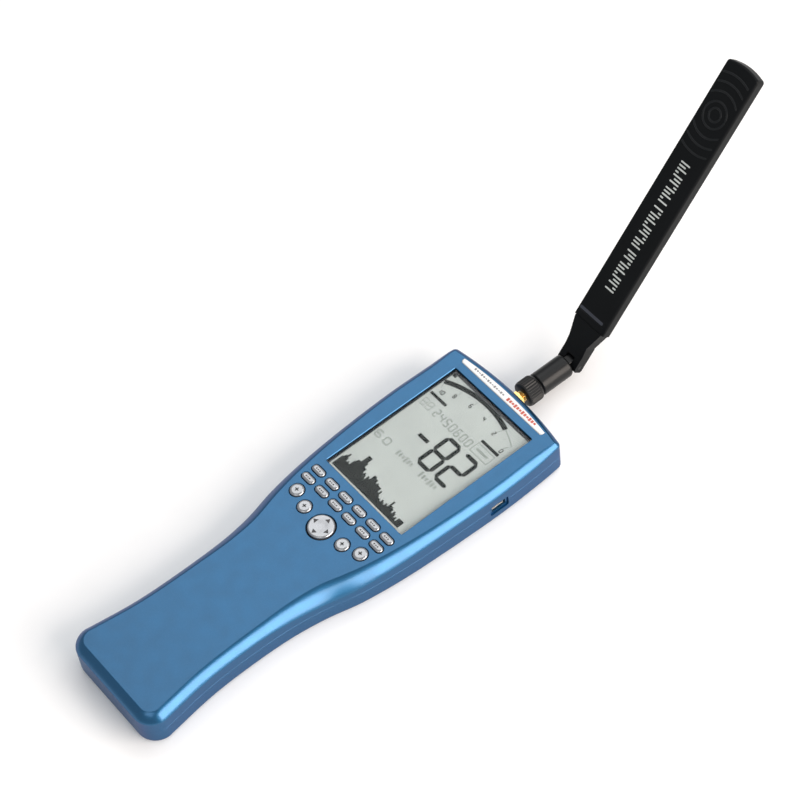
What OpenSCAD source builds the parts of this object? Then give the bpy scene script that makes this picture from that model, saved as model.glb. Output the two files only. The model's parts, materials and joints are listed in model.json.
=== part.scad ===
// Handheld spectrum analyzer with a jointed blade antenna.
// X points to the right of the display, Y towards the antenna and Z out of the display.
// The origin is the mouth of the tripod thread in the back face, behind the navigation disc.

/* [Case] */
// Thickness of the case, from the back face to the front face
case_t = 23; // [22.8:0.1:23.4]
// Wall thickness of both shells
wall = 2.2; // [2:0.1:2.3]
// Y of the crown of the top edge
top_y = 126.6; // [126.2:0.1:127]
// Y of the bottom end
bottom_y = -134.6; // [-136:0.1:-134]
// Drop of the top edge from its crown to the head's corners
crown_drop = 3.8; // [3.2:0.1:4.2]
// Corner radius of the head
head_corner = 3; // [2.5:0.5:5]
// Corner radius of the bottom end
foot_corner = 11; // [9:0.5:13]
// Radius of the edge between the back face and the sides
rear_r = 4; // [3:0.5:5]

/* [Display] */
// Width of the window
window_w = 61.3; // [60:0.1:62]
// Height of the window
window_h = 86.2; // [85:0.1:87]
// Y of the middle of the window
window_y = 70.25; // [70:0.05:70.5]
// Depth of the lens under the front face
lens_depth = 1; // [0.8:0.1:1.2]

/* [Keys] */
// Distance between the pill keys of a row
pill_pitch = 11.09; // [10.9:0.01:11.2]
// Length of a pill key
pill_w = 8.6; // [8.2:0.1:8.8]
// Height of a pill key
pill_h = 4.1; // [3.8:0.1:4.3]
// Diameter of the four round keys
round_d = 7.7; // [7.2:0.1:8]
// Diameter of the navigation disc
nav_d = 14.4; // [14:0.1:14.8]
// Gap between a key and its hole
key_gap = 0.3; // [0.25:0.05:0.35]
// Height of a key over the front face
key_proud = 0.9; // [0.7:0.1:1.1]

/* [Antenna] */
// Tilt of the blade from the case's long axis, at rest
blade_tilt = 47; // [0:1:90]
// Y of the hinge between barrel and blade
hinge_y = 166; // [165.8:0.1:167]
// Width of the blade
blade_w = 22.2; // [21.5:0.1:23]
// Thickness of the blade
blade_t = 7; // [6.8:0.1:7.4]
// Distance from the hinge to the blade's tip
blade_end = 181.9; // [170:0.5:190]
// Diameter of the barrel
barrel_d = 13; // [12.6:0.1:13.2]
// Diameter of the coupling nut's sleeve
nut_d = 14.6; // [14:0.1:15]

/* [Hidden] */
KEY_ROW = ["1", "2", "3", "4", "5", "6"];
$fn = 48;
EPS = 0.01;

// Height of the plane where the shells meet, and of the antenna socket's axis
split_z = case_t / 2;
axis_z = split_z;
// Half-width of the case as [y, half-width]: a waisted grip under a wide head
SIDE = [[-134.6, 36], [-118, 33.4], [-95, 30.4], [-70, 29.6], [-45, 30.5], [-25, 33.4],
    [-5, 38.1], [20, 41.3], [50, 43.1], [80, 44], [105, 43.4], [127, 41.9]];
// Radius of the edge between the front face and the side as [y, radius]
EDGE = [[-134.6, 5], [-60, 5.5], [-20, 8], [10, 6.5], [45, 5], [80, 4.6], [105, 4.4], [118, 3]];
LEAST_R = 0.5;
// The front edge is flatter than a circle: its sides follow a power of the cosine and the sine
EDGE_POWER = 1.5;
ARC_STEPS = 4;
SIDE_STEPS = 20;

// Case screws, board screws and what they pass through
CASE_SCREWS = [[36.2, 108], [33, 8], [25.5, -118]];
BOARD_SCREWS = [[26, 104], [28, -12.2]];
boss_r = 2.9;
rear_boss_r = 3.4;
screw_r = 1.05;
screw_bore_r = 1.3;
head_r = 2.4;
head_seat_z = 3.4;
post_r = 2.4;
post_screw_r = 0.95;

// Stack of the display, from the front face down
lens_top = case_t - lens_depth;
lens_t = 1;
pocket_gap = 0.1;
lens_air = 0.3;
lcd_top = lens_top - lens_t - lens_air;
lcd_t = 1.8;
light_top = lcd_top - lcd_t - 0.05;
light_t = 2.5;
lens_w = window_w + 3.3;
lens_h = window_h + 3.3;
frame_w = 64.4;
frame_h = 90.2;

// Main board
board_z = 12.5;
board_t = 1.6;
board_top = board_z + board_t;
board_w = 65;
board_y0 = -15;
board_y1 = 117;

// Keys
ROW_Y = [20.18, 13.44];
ROUND_AT = [[-25.9, 4.66], [-15.44, 1.35], [15.44, 1.35], [25.9, 4.66]];
flange_top = case_t - wall - 0.4;
flange_t = 1;
flange_extra = 1.4;
nub_z = 18.5;
mat_t = 1;
dome_z = 17.4;

// Navigation disc, on a gimbal: the post's pin lies along X and the actuator's along Y
nav_gap = 0.6;
nav_dome_z = 18.3;
nav_post_z = 18.2;
nav_pin_z = 17.4;
nav_pin_r = 0.6;
nav_plate_z = 18.9;
nav_plate_top = 20;
nav_plate_r = 8.6;
nav_stem_z = 22;
nav_cap_z = 21.2;
nav_cap_pin_z = 21.3;
nav_cap_pin_r = 0.5;
nav_recess_r = 5;
nav_recess_z = 22.6;
pin_play = 0.05;

// Sockets in the sides
usb_y = 79.5;
usb_z = 10.4;
phone_y = 58;
phone_z = 9.2;
phone_r = 1.8;
jog_x = -38.8;
jog_y = 88;
jog_z = 6.4;
jog_t = 3.4;
jog_r = 7;

// Tripod thread and speaker
tripod_r = 3.175;
tripod_depth = 6.5;
insert_r = 5;
insert_h = 8;
speaker_y = 32;
speaker_r = 11;

// Battery pack, between two walls of the rear shell
pack_half = 19.3;
pack_y0 = -121;
pack_y1 = -26;
pack_z0 = 3.6;
pack_z1 = 18.4;
bay_x = 19.8;

// Battery door, which slides out of the bottom end
door_w = 33;
door_y1 = -34.3;
door_gap = 0.3;
door_t = 2.1;
tongue_w = 36.8;
tongue_z = 2.45;
tongue_t = 1;

// Antenna socket and coupling, along Y
wall_y = top_y;
jack_r = 3.175;
jack_end = wall_y + 10;
jack_mouth = 4.8;
flange_y = wall_y - wall - 0.15;
insulator_y = flange_y - 1.5;
lock_nut_t = 3.6;
lock_nut_r = 4.62;
nut_y0 = 132.4;
nut_y1 = 142;
nut_bore_r = jack_r + 0.05;
nut_neck_y = 138.4;
plug_r = 2.65;
plug_flange_r = 3.15;
plug_y0 = jack_end + 0.2;
plug_y1 = 148;
barrel_y0 = nut_y1 + 0.3;
barrel_y1 = hinge_y - 3.9;
tongue_half = 2.6;
tongue_r = 3;
pin_r = 1.2;

// Blade, seen along the hinge: distance d from the hinge, depth n out of its front face
neck_w = 13.6;
neck_gap = 5.8;
ear_n0 = -3;
blade_n1 = 4.6;
blade_n0 = blade_n1 - blade_t;
ear_n1 = 3.5;
ear_d0 = -3;
ear_d1 = 6.9;
ear_sweep = 3.6;
slot_d = 4;
taper_d0 = 12.5;
taper_d1 = 22.5;
shoulder_w = 19.6;
shoulder_d = 23.2;
spigot_end = 31;
tip_sagitta = 1.3;
blade_wall = 1.3;

// ---- Curves ----

function slope(tab, i) =
    let (a = max(i - 1, 0), b = min(i + 1, len(tab) - 1))
    (tab[b][1] - tab[a][1]) / (tab[b][0] - tab[a][0]);

function span(tab, y, i = 0) = i >= len(tab) - 2 || y < tab[i + 1][0] ? i : span(tab, y, i + 1);

// Smooth curve through the points of a table, at y
function curve(tab, y_in) =
    let (y = min(max(y_in, tab[0][0]), tab[len(tab) - 1][0]),
        i = span(tab, y),
        h = tab[i + 1][0] - tab[i][0],
        t = (y - tab[i][0]) / h,
        u = 1 - t)
    tab[i][1] * (1 + 2 * t) * u * u + tab[i + 1][1] * t * t * (3 - 2 * t)
    + h * slope(tab, i) * t * u * u - h * slope(tab, i + 1) * t * t * u;

function crown(x) = top_y - crown_drop * x * x / (41.4 * 41.4);

// One level of the case's skin. a is 0 on the side wall and 90 on the flat face,
// t is the depth under the outer skin
function edge_r(y, t, front) = max((front ? curve(EDGE, y) : rear_r) - t, LEAST_R);
function bend(c, front) = front ? pow(c, EDGE_POWER) : c;
function inset(y, a, t, front) = t + edge_r(y, t, front) * (1 - bend(cos(a), front));
function level(y, a, t, front) =
    let (h = t + edge_r(y, t, front) * (1 - bend(sin(a), front))) front ? case_t - h : h;

function skin_half(a, t, front) =
    let (foot_in = inset(bottom_y, a, t, front),
        foot_r = max(foot_corner - foot_in, LEAST_R),
        foot_y = bottom_y + foot_in + foot_r,
        foot_x = curve(SIDE, bottom_y + foot_corner) - foot_in - foot_r,
        head_in = inset(top_y, a, t, front),
        corner_r = max(head_corner - head_in, LEAST_R),
        corner_x = curve(SIDE, 121) - head_in - corner_r,
        corner_y = crown(corner_x) - head_in - corner_r,
        foot_z = level(bottom_y, a, t, front),
        head_z = level(top_y, a, t, front))
    concat(
        [for (i = [0:5]) let (w = -90 + 18 * i) [foot_x + foot_r * cos(w), foot_y + foot_r * sin(w), foot_z]],
        [for (i = [1:SIDE_STEPS]) let (y = foot_y + (corner_y - foot_y) * i / (SIDE_STEPS + 1))
            [curve(SIDE, y) - inset(y, a, t, front), y, level(y, a, t, front)]],
        [for (i = [0:3]) let (w = 30 * i) [corner_x + corner_r * cos(w), corner_y + corner_r * sin(w), head_z]],
        [for (i = [1:4]) let (x = corner_x * (1 - i / 5)) [x, crown(x) - head_in, head_z]]);

function ring(a, t, front) =
    let (half = skin_half(a, t, front), n = len(half))
    concat(half, [[0, crown(0) - inset(top_y, a, t, front), level(top_y, a, t, front)]],
        [for (i = [n - 1:-1:0]) [-half[i][0], half[i][1], half[i][2]]]);

function at_z(points, z) = [for (p = points) [p[0], p[1], z]];

// A flat end across a ring: a strip of quads between mirrored points, and a triangle at the crown
function cap(first, n) =
    let (mid = (n - 1) / 2)
    concat([for (i = [0:mid - 2]) [first + i, first + i + 1, first + n - 2 - i, first + n - 1 - i]],
        [[first + mid - 1, first + mid, first + mid + 1]]);

function flipped(faces) = [for (f = faces) [for (i = [len(f) - 1:-1:0]) f[i]]];

module loft(rings) {
    n = len(rings[0]);
    m = len(rings);
    sides = [for (k = [0:m - 2], i = [0:n - 1]) let (j = (i + 1) % n)
        [k * n + i, (k + 1) * n + i, (k + 1) * n + j, k * n + j]];
    polyhedron([for (r = rings) each r],
        concat(cap(0, n), sides, flipped(cap((m - 1) * n, n))), convexity = 6);
}

// Front half of the case's space, t inside the skin, from a plane at z up to the face
module front_space(t, z) {
    loft(concat([at_z(ring(0, t, true), z)],
        [for (k = [0:ARC_STEPS]) ring(90 * k / ARC_STEPS, t, true)]));
}

// Rear half, from the back face up to a plane at z
module rear_space(t, z) {
    loft(concat([for (k = [ARC_STEPS:-1:0]) ring(90 * k / ARC_STEPS, t, false)],
        [at_z(ring(0, t, false), z)]));
}

// ---- Shapes that repeat ----

module block(x0, x1, y0, y1, z0, z1) {
    translate([x0, y0, z0]) cube([x1 - x0, y1 - y0, z1 - z0]);
}

module slab(half_x, y0, y1, z0, z1) {
    block(-half_x, half_x, y0, y1, z0, z1);
}

module disc(x, y, z0, z1, r) {
    translate([x, y, z0]) cylinder(h = z1 - z0, r = r);
}

module rod_y(y0, y1, r) {
    translate([0, y0, axis_z]) rotate([-90, 0, 0]) cylinder(h = y1 - y0, r = r);
}

module pill(x, y, z0, z1, w, h) {
    flat = (w - h) / 2;
    disc(x - flat, y, z0, z1, h / 2);
    disc(x + flat, y, z0, z1, h / 2);
    block(x - flat, x + flat, y - h / 2, y + h / 2, z0, z1);
}

module mirrored() {
    children();
    mirror([1, 0, 0]) children();
}

function pill_x(i) = (i - 2.5) * pill_pitch;

// ---- Case ----

module side_cuts() {
    block(40, 46, usb_y - 4.4, usb_y + 4.4, usb_z - 2.4, usb_z + 2.6);
    block(43, 46, usb_y - 5.8, usb_y + 5.8, usb_z - 3.6, usb_z + 3.2);
    translate([-46, phone_y, phone_z]) rotate([0, 90, 0]) cylinder(h = 6, r = 3.1);
    block(-46, -39, jog_y - 6.8, jog_y + 6.8, jog_z - 0.4, jog_z + jog_t + 0.4);
    rod_y(wall_y - wall - 3, wall_y + 3, jack_r + 0.12);
}

module label_plan(grow) {
    half = 31.9 + grow;
    steps = 8;
    polygon(concat([[-half + 1, 118 - grow], [half - 1, 118 - grow], [half, 119 - grow]],
        [for (i = [0:steps]) let (x = half * (1 - 2 * i / steps)) [x, crown(x) - 3.7 + grow]],
        [[-half, 119 - grow]]));
}

module front_shell() {
    color("steelblue") difference() {
        union() {
            difference() {
                front_space(0, split_z);
                front_space(wall, split_z - 1);
            }
            for (p = CASE_SCREWS) mirrored() disc(p[0], p[1], split_z, case_t - wall + 0.2, boss_r);
            mirrored() block(11, 12.4, -116, -30, pack_z1, case_t - wall + 0.2);
        }
        slab(window_w / 2, window_y - window_h / 2, window_y + window_h / 2, lens_top - 1, case_t + 1);
        slab(lens_w / 2 + pocket_gap, window_y - lens_h / 2 - pocket_gap,
            window_y + lens_h / 2 + pocket_gap, light_top, lens_top);
        for (p = CASE_SCREWS) mirrored() disc(p[0], p[1], split_z - 1, 18, screw_r);
        for (y = ROW_Y, i = [0:5])
            pill(pill_x(i), y, case_t - wall - 1, case_t + 1, pill_w + 2 * key_gap, pill_h + 2 * key_gap);
        for (p = ROUND_AT) disc(p[0], p[1], case_t - wall - 1, case_t + 1, round_d / 2 + key_gap);
        disc(0, 0, case_t - wall - 1, case_t + 1, nav_d / 2 + nav_gap);
        translate([0, 0, case_t - 0.5]) linear_extrude(2) label_plan(0.1);
        side_cuts();
    }
}

module rear_shell() {
    color("steelblue") difference() {
        union() {
            difference() {
                rear_space(0, split_z);
                rear_space(wall, split_z + 1);
            }
            for (p = CASE_SCREWS) mirrored() disc(p[0], p[1], 1, split_z, rear_boss_r);
            for (p = BOARD_SCREWS) mirrored() disc(p[0], p[1], 1, board_z, post_r);
            disc(0, 0, 1, insert_h, insert_r + 1.8);
            mirrored() block(bay_x, bay_x + 1.4, -122, -27, 1, split_z);
        }
        for (p = CASE_SCREWS) mirrored() {
            disc(p[0], p[1], -1, head_seat_z, head_r + 0.2);
            disc(p[0], p[1], 0, split_z + 1, screw_bore_r);
        }
        for (p = BOARD_SCREWS) mirrored() disc(p[0], p[1], 7, board_z + 1, post_screw_r);
        disc(0, 0, -1, insert_h + 1, insert_r);
        for (i = [-3:3]) slab(7, speaker_y + 2.4 * i - 0.5, speaker_y + 2.4 * i + 0.5, -1, wall + 0.5);
        slab(door_w / 2 + door_gap, bottom_y - 5, door_y1 + door_gap, -1, wall + 0.5);
        slab(tongue_w / 2 + door_gap, bottom_y - 5, bottom_y + 9, wall, tongue_z + tongue_t + 0.25);
        side_cuts();
    }
}

module battery_door() {
    color("steelblue") {
        intersection() {
            rear_space(0, split_z);
            union() {
                slab(door_w / 2, bottom_y - 5, door_y1, 0.1, door_t + EPS);
                slab(door_w / 2, bottom_y - 5, bottom_y + 5, 0.1, tongue_z + tongue_t);
                slab(tongue_w / 2, bottom_y - 5, bottom_y + 5, tongue_z, tongue_z + tongue_t);
            }
        }
        slab(door_w / 2, bottom_y + 4, door_y1 - 2, door_t - 0.5, tongue_z + tongue_t);
        slab(tongue_w / 2, bottom_y + 4, door_y1 - 2, tongue_z, tongue_z + tongue_t);
    }
}

module case_screws() {
    color("silver") for (p = CASE_SCREWS) mirrored() {
        disc(p[0], p[1], head_seat_z - 1.8, head_seat_z, head_r);
        disc(p[0], p[1], head_seat_z - EPS, 17.5, screw_r);
    }
}

module tripod_insert() {
    color("goldenrod") difference() {
        disc(0, 0, 0, insert_h, insert_r);
        disc(0, 0, -1, tripod_depth, tripod_r);
    }
}

// ---- Display ----

module display_lens() {
    color("lightgray", 0.4)
        slab(lens_w / 2, window_y - lens_h / 2, window_y + lens_h / 2, lens_top - lens_t, lens_top);
}

module lcd_panel() {
    color("honeydew")
        slab(lens_w / 2 - 0.4, window_y - lens_h / 2 + 0.4, window_y + lens_h / 2 - 0.4, lcd_top - lcd_t, lcd_top);
}

module lcd_backlight() {
    color("white") slab(29.8, window_y - 41, window_y + 41, light_top - light_t, light_top);
}

module lcd_frame() {
    color("dimgray") difference() {
        slab(frame_w / 2, window_y - frame_h / 2, window_y + frame_h / 2, board_top, light_top);
        slab(frame_w / 2 - 2, window_y - frame_h / 2 + 1, window_y + frame_h / 2 - 1, board_top - 1, case_t);
    }
}

module zebra_strips() {
    color("pink") for (y = [window_y - 44, window_y + 41.8]) slab(29, y, y + 2.2, board_top, light_top);
}

module label_strip() {
    color("white") translate([0, 0, case_t - 0.5]) linear_extrude(1) label_plan(0);
}

// ---- Keys ----

module pill_key(i, row) {
    color("gainsboro") {
        pill(pill_x(i), ROW_Y[row], flange_top - EPS, case_t + key_proud, pill_w, pill_h);
        pill(pill_x(i), ROW_Y[row], flange_top - flange_t, flange_top, pill_w + flange_extra, pill_h + flange_extra);
        disc(pill_x(i), ROW_Y[row], nub_z, flange_top - flange_t + EPS, 1.8);
    }
}

module round_key(i) {
    p = ROUND_AT[i];
    color("gainsboro") {
        disc(p[0], p[1], flange_top - EPS, case_t + key_proud, round_d / 2);
        disc(p[0], p[1], flange_top - flange_t, flange_top, (round_d + flange_extra) / 2);
        disc(p[0], p[1], nub_z, flange_top - flange_t + EPS, 1.8);
    }
}

module pin_x(half, z, r) {
    translate([-half, 0, z]) rotate([0, 90, 0]) cylinder(h = 2 * half, r = r);
}

module pin_y(half, z, r) {
    translate([0, -half, z]) rotate([-90, 0, 0]) cylinder(h = 2 * half, r = r);
}

module nav_disc() {
    color("gainsboro") difference() {
        union() {
            difference() {
                disc(0, 0, nav_cap_z, case_t + key_proud + 0.1, nav_d / 2);
                disc(0, 0, nav_cap_z - 1, nav_recess_z, nav_recess_r);
            }
            for (y = [-2.6, 1.6]) block(-0.9, 0.9, y, y + 1, nav_plate_top + 0.6, nav_recess_z + EPS);
        }
        pin_y(4, nav_cap_pin_z, nav_cap_pin_r + pin_play);
    }
}

module nav_actuator() {
    color("dimgray") difference() {
        union() {
            disc(0, 0, nav_plate_z, nav_plate_top, nav_plate_r);
            mirrored() block(1.9, 2.9, -1, 1, nav_pin_z - 0.8, nav_plate_z + EPS);
            slab(1.2, -1.3, 1.3, nav_plate_top - EPS, nav_stem_z);
            pin_y(2.4, nav_cap_pin_z, nav_cap_pin_r);
        }
        pin_x(4, nav_pin_z, nav_pin_r + pin_play);
    }
}

module nav_post() {
    color("dimgray") {
        disc(0, 0, board_top, nav_post_z, 1.5);
        pin_x(2.8, nav_pin_z, nav_pin_r);
    }
}

module keypad_mat() {
    color("darkgray") difference() {
        union() {
            slab(30, -9, 24.4, board_top, board_top + mat_t);
            for (y = ROW_Y, i = [0:5]) disc(pill_x(i), y, board_top, dome_z, 1.9);
            for (p = ROUND_AT) disc(p[0], p[1], board_top, dome_z, 2.2);
            for (a = [0:90:270]) disc(5.5 * cos(a), 5.5 * sin(a), board_top, nav_dome_z, 1.5);
        }
        disc(0, 0, board_top - 1, case_t, 1.8);
    }
}

// ---- Electronics ----

module main_board() {
    color("darkgreen") difference() {
        union() {
            slab(board_w / 2, board_y0, board_y1, board_z, board_top);
            block(0, 40, usb_y - 6.5, usb_y + 6.5, board_z, board_top);
            block(-40, 0, phone_y - 6, phone_y + 6, board_z, board_top);
            block(-40.8, 0, jog_y - 7, jog_y + 7, board_z, board_top);
        }
        for (p = BOARD_SCREWS) mirrored() disc(p[0], p[1], board_z - 1, board_top + 1, 1.1);
        mirrored() disc(CASE_SCREWS[1][0], CASE_SCREWS[1][1], board_z - 1, board_top + 1, boss_r + 0.4);
    }
}

module board_screws() {
    color("silver") for (p = BOARD_SCREWS) mirrored() {
        disc(p[0], p[1], board_top, board_top + 1.3, 2.1);
        disc(p[0], p[1], 7.5, board_top + EPS, post_screw_r);
    }
}

module board_chips() {
    color("black") {
        block(5, 19, 53, 67, board_z - 1.6, board_z);
        block(18, 27, 38, 47, board_z - 1.2, board_z);
        block(-24, -12, 12, 20, board_z - 1.4, board_z);
        block(10, 15, 8, 18, board_z - 1.8, board_z);
        block(24, 28, 52, 62, board_z - 3, board_z);
    }
}

module shield_can(x0, x1, y0, y1, h) {
    skin = 0.4;
    color("lightgray") difference() {
        block(x0, x1, y0, y1, board_z - h, board_z);
        block(x0 + skin, x1 - skin, y0 + skin, y1 - skin, board_z - h + skin, board_z + 1);
    }
}

module shield_can_input() {
    shield_can(-16, 16, 78, 111, 4.1);
}

module shield_can_mixer() {
    shield_can(-27, -3, 46, 74, 3.6);
}

module speaker() {
    color("dimgray") difference() {
        disc(0, speaker_y, wall + 0.05, 7.2, speaker_r);
        disc(0, speaker_y, wall - 1, 3.4, speaker_r - 2);
    }
}

module battery_pack() {
    r = 4;
    color("royalblue") {
        slab(pack_half - r, pack_y0, pack_y1, pack_z0, pack_z1);
        slab(pack_half, pack_y0, pack_y1, pack_z0 + r, pack_z1 - r);
        mirrored() for (z = [pack_z0 + r, pack_z1 - r])
            translate([pack_half - r, pack_y0, z]) rotate([-90, 0, 0]) cylinder(h = pack_y1 - pack_y0, r = r);
    }
}

module battery_connector() {
    color("ivory") block(-19, -7, pack_y1 + 0.3, -8, 8.5, board_z);
    color("gold") for (x = [-17, -13.6, -10.2]) block(x, x + 1.2, pack_y1, pack_y1 + 0.3 + EPS, 9, 12);
}

module usb_socket() {
    color("silver") difference() {
        block(32.6, 42, usb_y - 3.85, usb_y + 3.85, usb_z - 1.8, board_z);
        block(35, 43, usb_y - 3.4, usb_y + 3.4, usb_z - 1.4, usb_z + 1.7);
    }
    color("black") block(35 - EPS, 40.6, usb_y - 2.6, usb_y + 2.6, usb_z - 0.3, usb_z + 0.5);
}

module earphone_jack() {
    color("black") difference() {
        union() {
            block(-40.6, -28.5, phone_y - 3.2, phone_y + 3.2, phone_z - 3.2, board_z);
            translate([-43.1, phone_y, phone_z]) rotate([0, 90, 0]) cylinder(h = 3, r = 2.9);
        }
        translate([-44, phone_y, phone_z]) rotate([0, 90, 0]) cylinder(h = 14, r = phone_r);
    }
}

module jog_dial() {
    color("dimgray") {
        disc(jog_x, jog_y, jog_z, jog_z + jog_t, jog_r);
        disc(jog_x, jog_y, jog_z + jog_t - EPS, board_z - 0.3, 1.5);
    }
}

module jog_encoder() {
    color("black") difference() {
        block(-41.3, -33.3, jog_y - 5, jog_y + 5, jog_z + jog_t + 0.5, board_z);
        disc(jog_x, jog_y, jog_z, board_z - 0.2, 1.56);
    }
}

// ---- Antenna socket ----

module sma_jack() {
    color("gold") difference() {
        union() {
            rod_y(flange_y - 3, flange_y, 4.4);
            rod_y(flange_y - 3, jack_end, jack_r);
            rod_y(117.4, flange_y - 3 + EPS, 1.9);
        }
        rod_y(117, jack_end - jack_mouth + EPS, 0.95);
        rod_y(insulator_y, jack_end - jack_mouth + EPS, 2.05);
        rod_y(jack_end - jack_mouth, jack_end + 1, 2.3);
    }
}

module sma_insulator() {
    color("white") difference() {
        rod_y(insulator_y, jack_end - jack_mouth, 2.05);
        rod_y(119, jack_end, 0.65);
    }
}

module sma_contact() {
    color("gold") difference() {
        rod_y(119, jack_end - 0.4, 0.65);
        rod_y(jack_end - 6, jack_end, 0.5);
    }
}

module sma_lock_nut() {
    color("gold") difference() {
        translate([0, wall_y + 0.1, axis_z]) rotate([-90, 0, 0]) cylinder(h = lock_nut_t, r = lock_nut_r, $fn = 6);
        rod_y(wall_y, wall_y + lock_nut_t + 1, jack_r);
    }
}

module coax_jumper() {
    color("peru") rod_y(111, 119, 0.95);
}

// ---- Antenna ----

module antenna_nut() {
    color("black") difference() {
        rod_y(nut_y0, nut_y1, nut_d / 2);
        rod_y(nut_y0 - 1, nut_neck_y, nut_bore_r);
        rod_y(nut_y0, nut_y1 + 1, plug_r + 0.05);
    }
}

module antenna_plug() {
    color("gold") difference() {
        union() {
            rod_y(plug_y0, plug_y0 + 1.4, plug_flange_r);
            rod_y(plug_y0, plug_y1, plug_r);
        }
        rod_y(plug_y0 - 1, plug_y0 + 4, 0.46);
    }
}

module antenna_centre_pin() {
    color("gold") rod_y(plug_y0 - 4.4, plug_y0 + 4, 0.46);
}

module antenna_barrel() {
    color("black") difference() {
        union() {
            rod_y(barrel_y0, barrel_y1, barrel_d / 2);
            slab(tongue_half, barrel_y1 - 1, hinge_y, axis_z - tongue_r, axis_z + tongue_r);
            translate([-tongue_half, hinge_y, axis_z]) rotate([0, 90, 0])
                cylinder(h = 2 * tongue_half, r = tongue_r);
        }
        rod_y(barrel_y0 - 1, plug_y1, plug_r);
        translate([-10, hinge_y, axis_z]) rotate([0, 90, 0]) cylinder(h = 20, r = pin_r + 0.05);
    }
}

// Frame of the blade: its Y runs along the blade and its Z out of its front face
module blade_frame() {
    translate([0, hinge_y, axis_z]) rotate([blade_tilt, 0, 0]) children();
}

module antenna_hinge_pin() {
    color("silver") translate([-neck_w / 2 + 0.1, hinge_y, axis_z]) rotate([0, 90, 0])
        cylinder(h = neck_w - 0.2, r = pin_r);
}

module antenna_fork() {
    color("black") blade_frame() difference() {
        union() {
            intersection() {
                slab(neck_w / 2, ear_d0, EPS, ear_n0, ear_n1);
                translate([-neck_w, 0, 0]) rotate([0, 90, 0]) cylinder(h = 2 * neck_w, r = ear_sweep);
            }
            translate([-neck_w / 2, 0, 0]) rotate([90, 0, 90]) linear_extrude(neck_w) polygon([
                [0, ear_n0], [taper_d0, ear_n0], [taper_d0, blade_n1], [ear_d1, ear_n1], [0, ear_n1]]);
            translate([0, 0, blade_n0]) linear_extrude(blade_t) polygon([
                [-neck_w / 2, taper_d0 - EPS], [neck_w / 2, taper_d0 - EPS], [shoulder_w / 2, taper_d1],
                [shoulder_w / 2, shoulder_d], [-shoulder_w / 2, shoulder_d], [-shoulder_w / 2, taper_d1]]);
            slab(blade_w / 2 - blade_wall - 0.05, shoulder_d - EPS, spigot_end,
                blade_n0 + blade_wall + 0.05, blade_n1 - blade_wall - 0.05);
        }
        slab(neck_gap / 2, ear_d0 - 5, slot_d, ear_n0 - 5, blade_n1 + 5);
        translate([-10, 0, 0]) rotate([0, 90, 0]) cylinder(h = 20, r = pin_r);
    }
}

module antenna_blade() {
    half = blade_w / 2;
    corner = 2;
    d1 = blade_end - tip_sagitta;
    steps = 6;
    color("black") blade_frame() difference() {
        translate([0, 0, blade_n0]) linear_extrude(blade_t) polygon(concat(
            [[-half, shoulder_d], [half, shoulder_d], [half, d1 - corner]],
            [for (i = [0:steps]) let (x = (half - corner / 2) * (1 - 2 * i / steps))
                [x, blade_end - tip_sagitta * x * x / (half * half)]],
            [[-half, d1 - corner]]));
        slab(half - blade_wall, shoulder_d - 1, blade_end - 4, blade_n0 + blade_wall, blade_n1 - blade_wall);
    }
}

module antenna_element() {
    color("olive") blade_frame() slab(8.6, spigot_end + 0.5, blade_end - 9, 0.6, 1.6);
}

front_shell();
rear_shell();
display_lens();
lcd_panel();
lcd_backlight();
lcd_frame();
zebra_strips();
label_strip();
for (i = [0:5]) pill_key(i, 0);
for (i = [0:5]) pill_key(i, 1);
for (i = [0:3]) round_key(i);
nav_disc();
nav_actuator();
nav_post();
keypad_mat();
main_board();
board_chips();
shield_can_input();
shield_can_mixer();
speaker();
battery_pack();
battery_connector();
battery_door();
usb_socket();
earphone_jack();
jog_dial();
jog_encoder();
tripod_insert();
case_screws();
board_screws();
sma_jack();
sma_insulator();
sma_contact();
sma_lock_nut();
coax_jumper();
antenna_nut();
antenna_plug();
antenna_centre_pin();
antenna_barrel();
antenna_hinge_pin();
antenna_fork();
antenna_blade();
antenna_element();
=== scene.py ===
import json
from math import asin, cos, pi, radians, sin

import bmesh
import bpy
from mathutils import Matrix, Vector


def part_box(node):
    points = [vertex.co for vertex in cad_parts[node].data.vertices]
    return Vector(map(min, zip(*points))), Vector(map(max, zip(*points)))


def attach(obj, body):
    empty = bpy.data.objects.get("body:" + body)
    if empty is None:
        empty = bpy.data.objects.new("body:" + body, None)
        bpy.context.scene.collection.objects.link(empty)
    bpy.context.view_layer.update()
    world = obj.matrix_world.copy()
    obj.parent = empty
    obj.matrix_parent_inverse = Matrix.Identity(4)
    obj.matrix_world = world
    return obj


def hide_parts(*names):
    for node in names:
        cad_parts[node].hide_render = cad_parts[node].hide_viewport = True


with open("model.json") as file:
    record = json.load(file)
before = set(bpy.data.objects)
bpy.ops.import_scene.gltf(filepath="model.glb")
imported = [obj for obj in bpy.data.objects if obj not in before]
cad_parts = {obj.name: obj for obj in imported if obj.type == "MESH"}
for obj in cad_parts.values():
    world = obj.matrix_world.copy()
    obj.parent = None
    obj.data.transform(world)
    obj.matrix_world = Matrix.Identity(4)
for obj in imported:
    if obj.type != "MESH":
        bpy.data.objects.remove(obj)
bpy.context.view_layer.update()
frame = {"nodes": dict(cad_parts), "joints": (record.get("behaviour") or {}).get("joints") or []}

# The look of the handheld spectrum analyzer. Lengths here are in millimetres, in the row's frame;
# mesh_object turns them into metres.

NODES = frame["nodes"]
JOINTS = {joint["name"]: joint for joint in frame["joints"]}
MM = 0.001


def cad_box(node):
    """Lowest and highest corner of a CAD node, in millimetres."""
    low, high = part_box(node)
    return Vector(low) / MM, Vector(high) / MM


def cad_centre(node):
    """Middle of a CAD node's box, in millimetres."""
    low, high = cad_box(node)
    return (low + high) / 2


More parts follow.
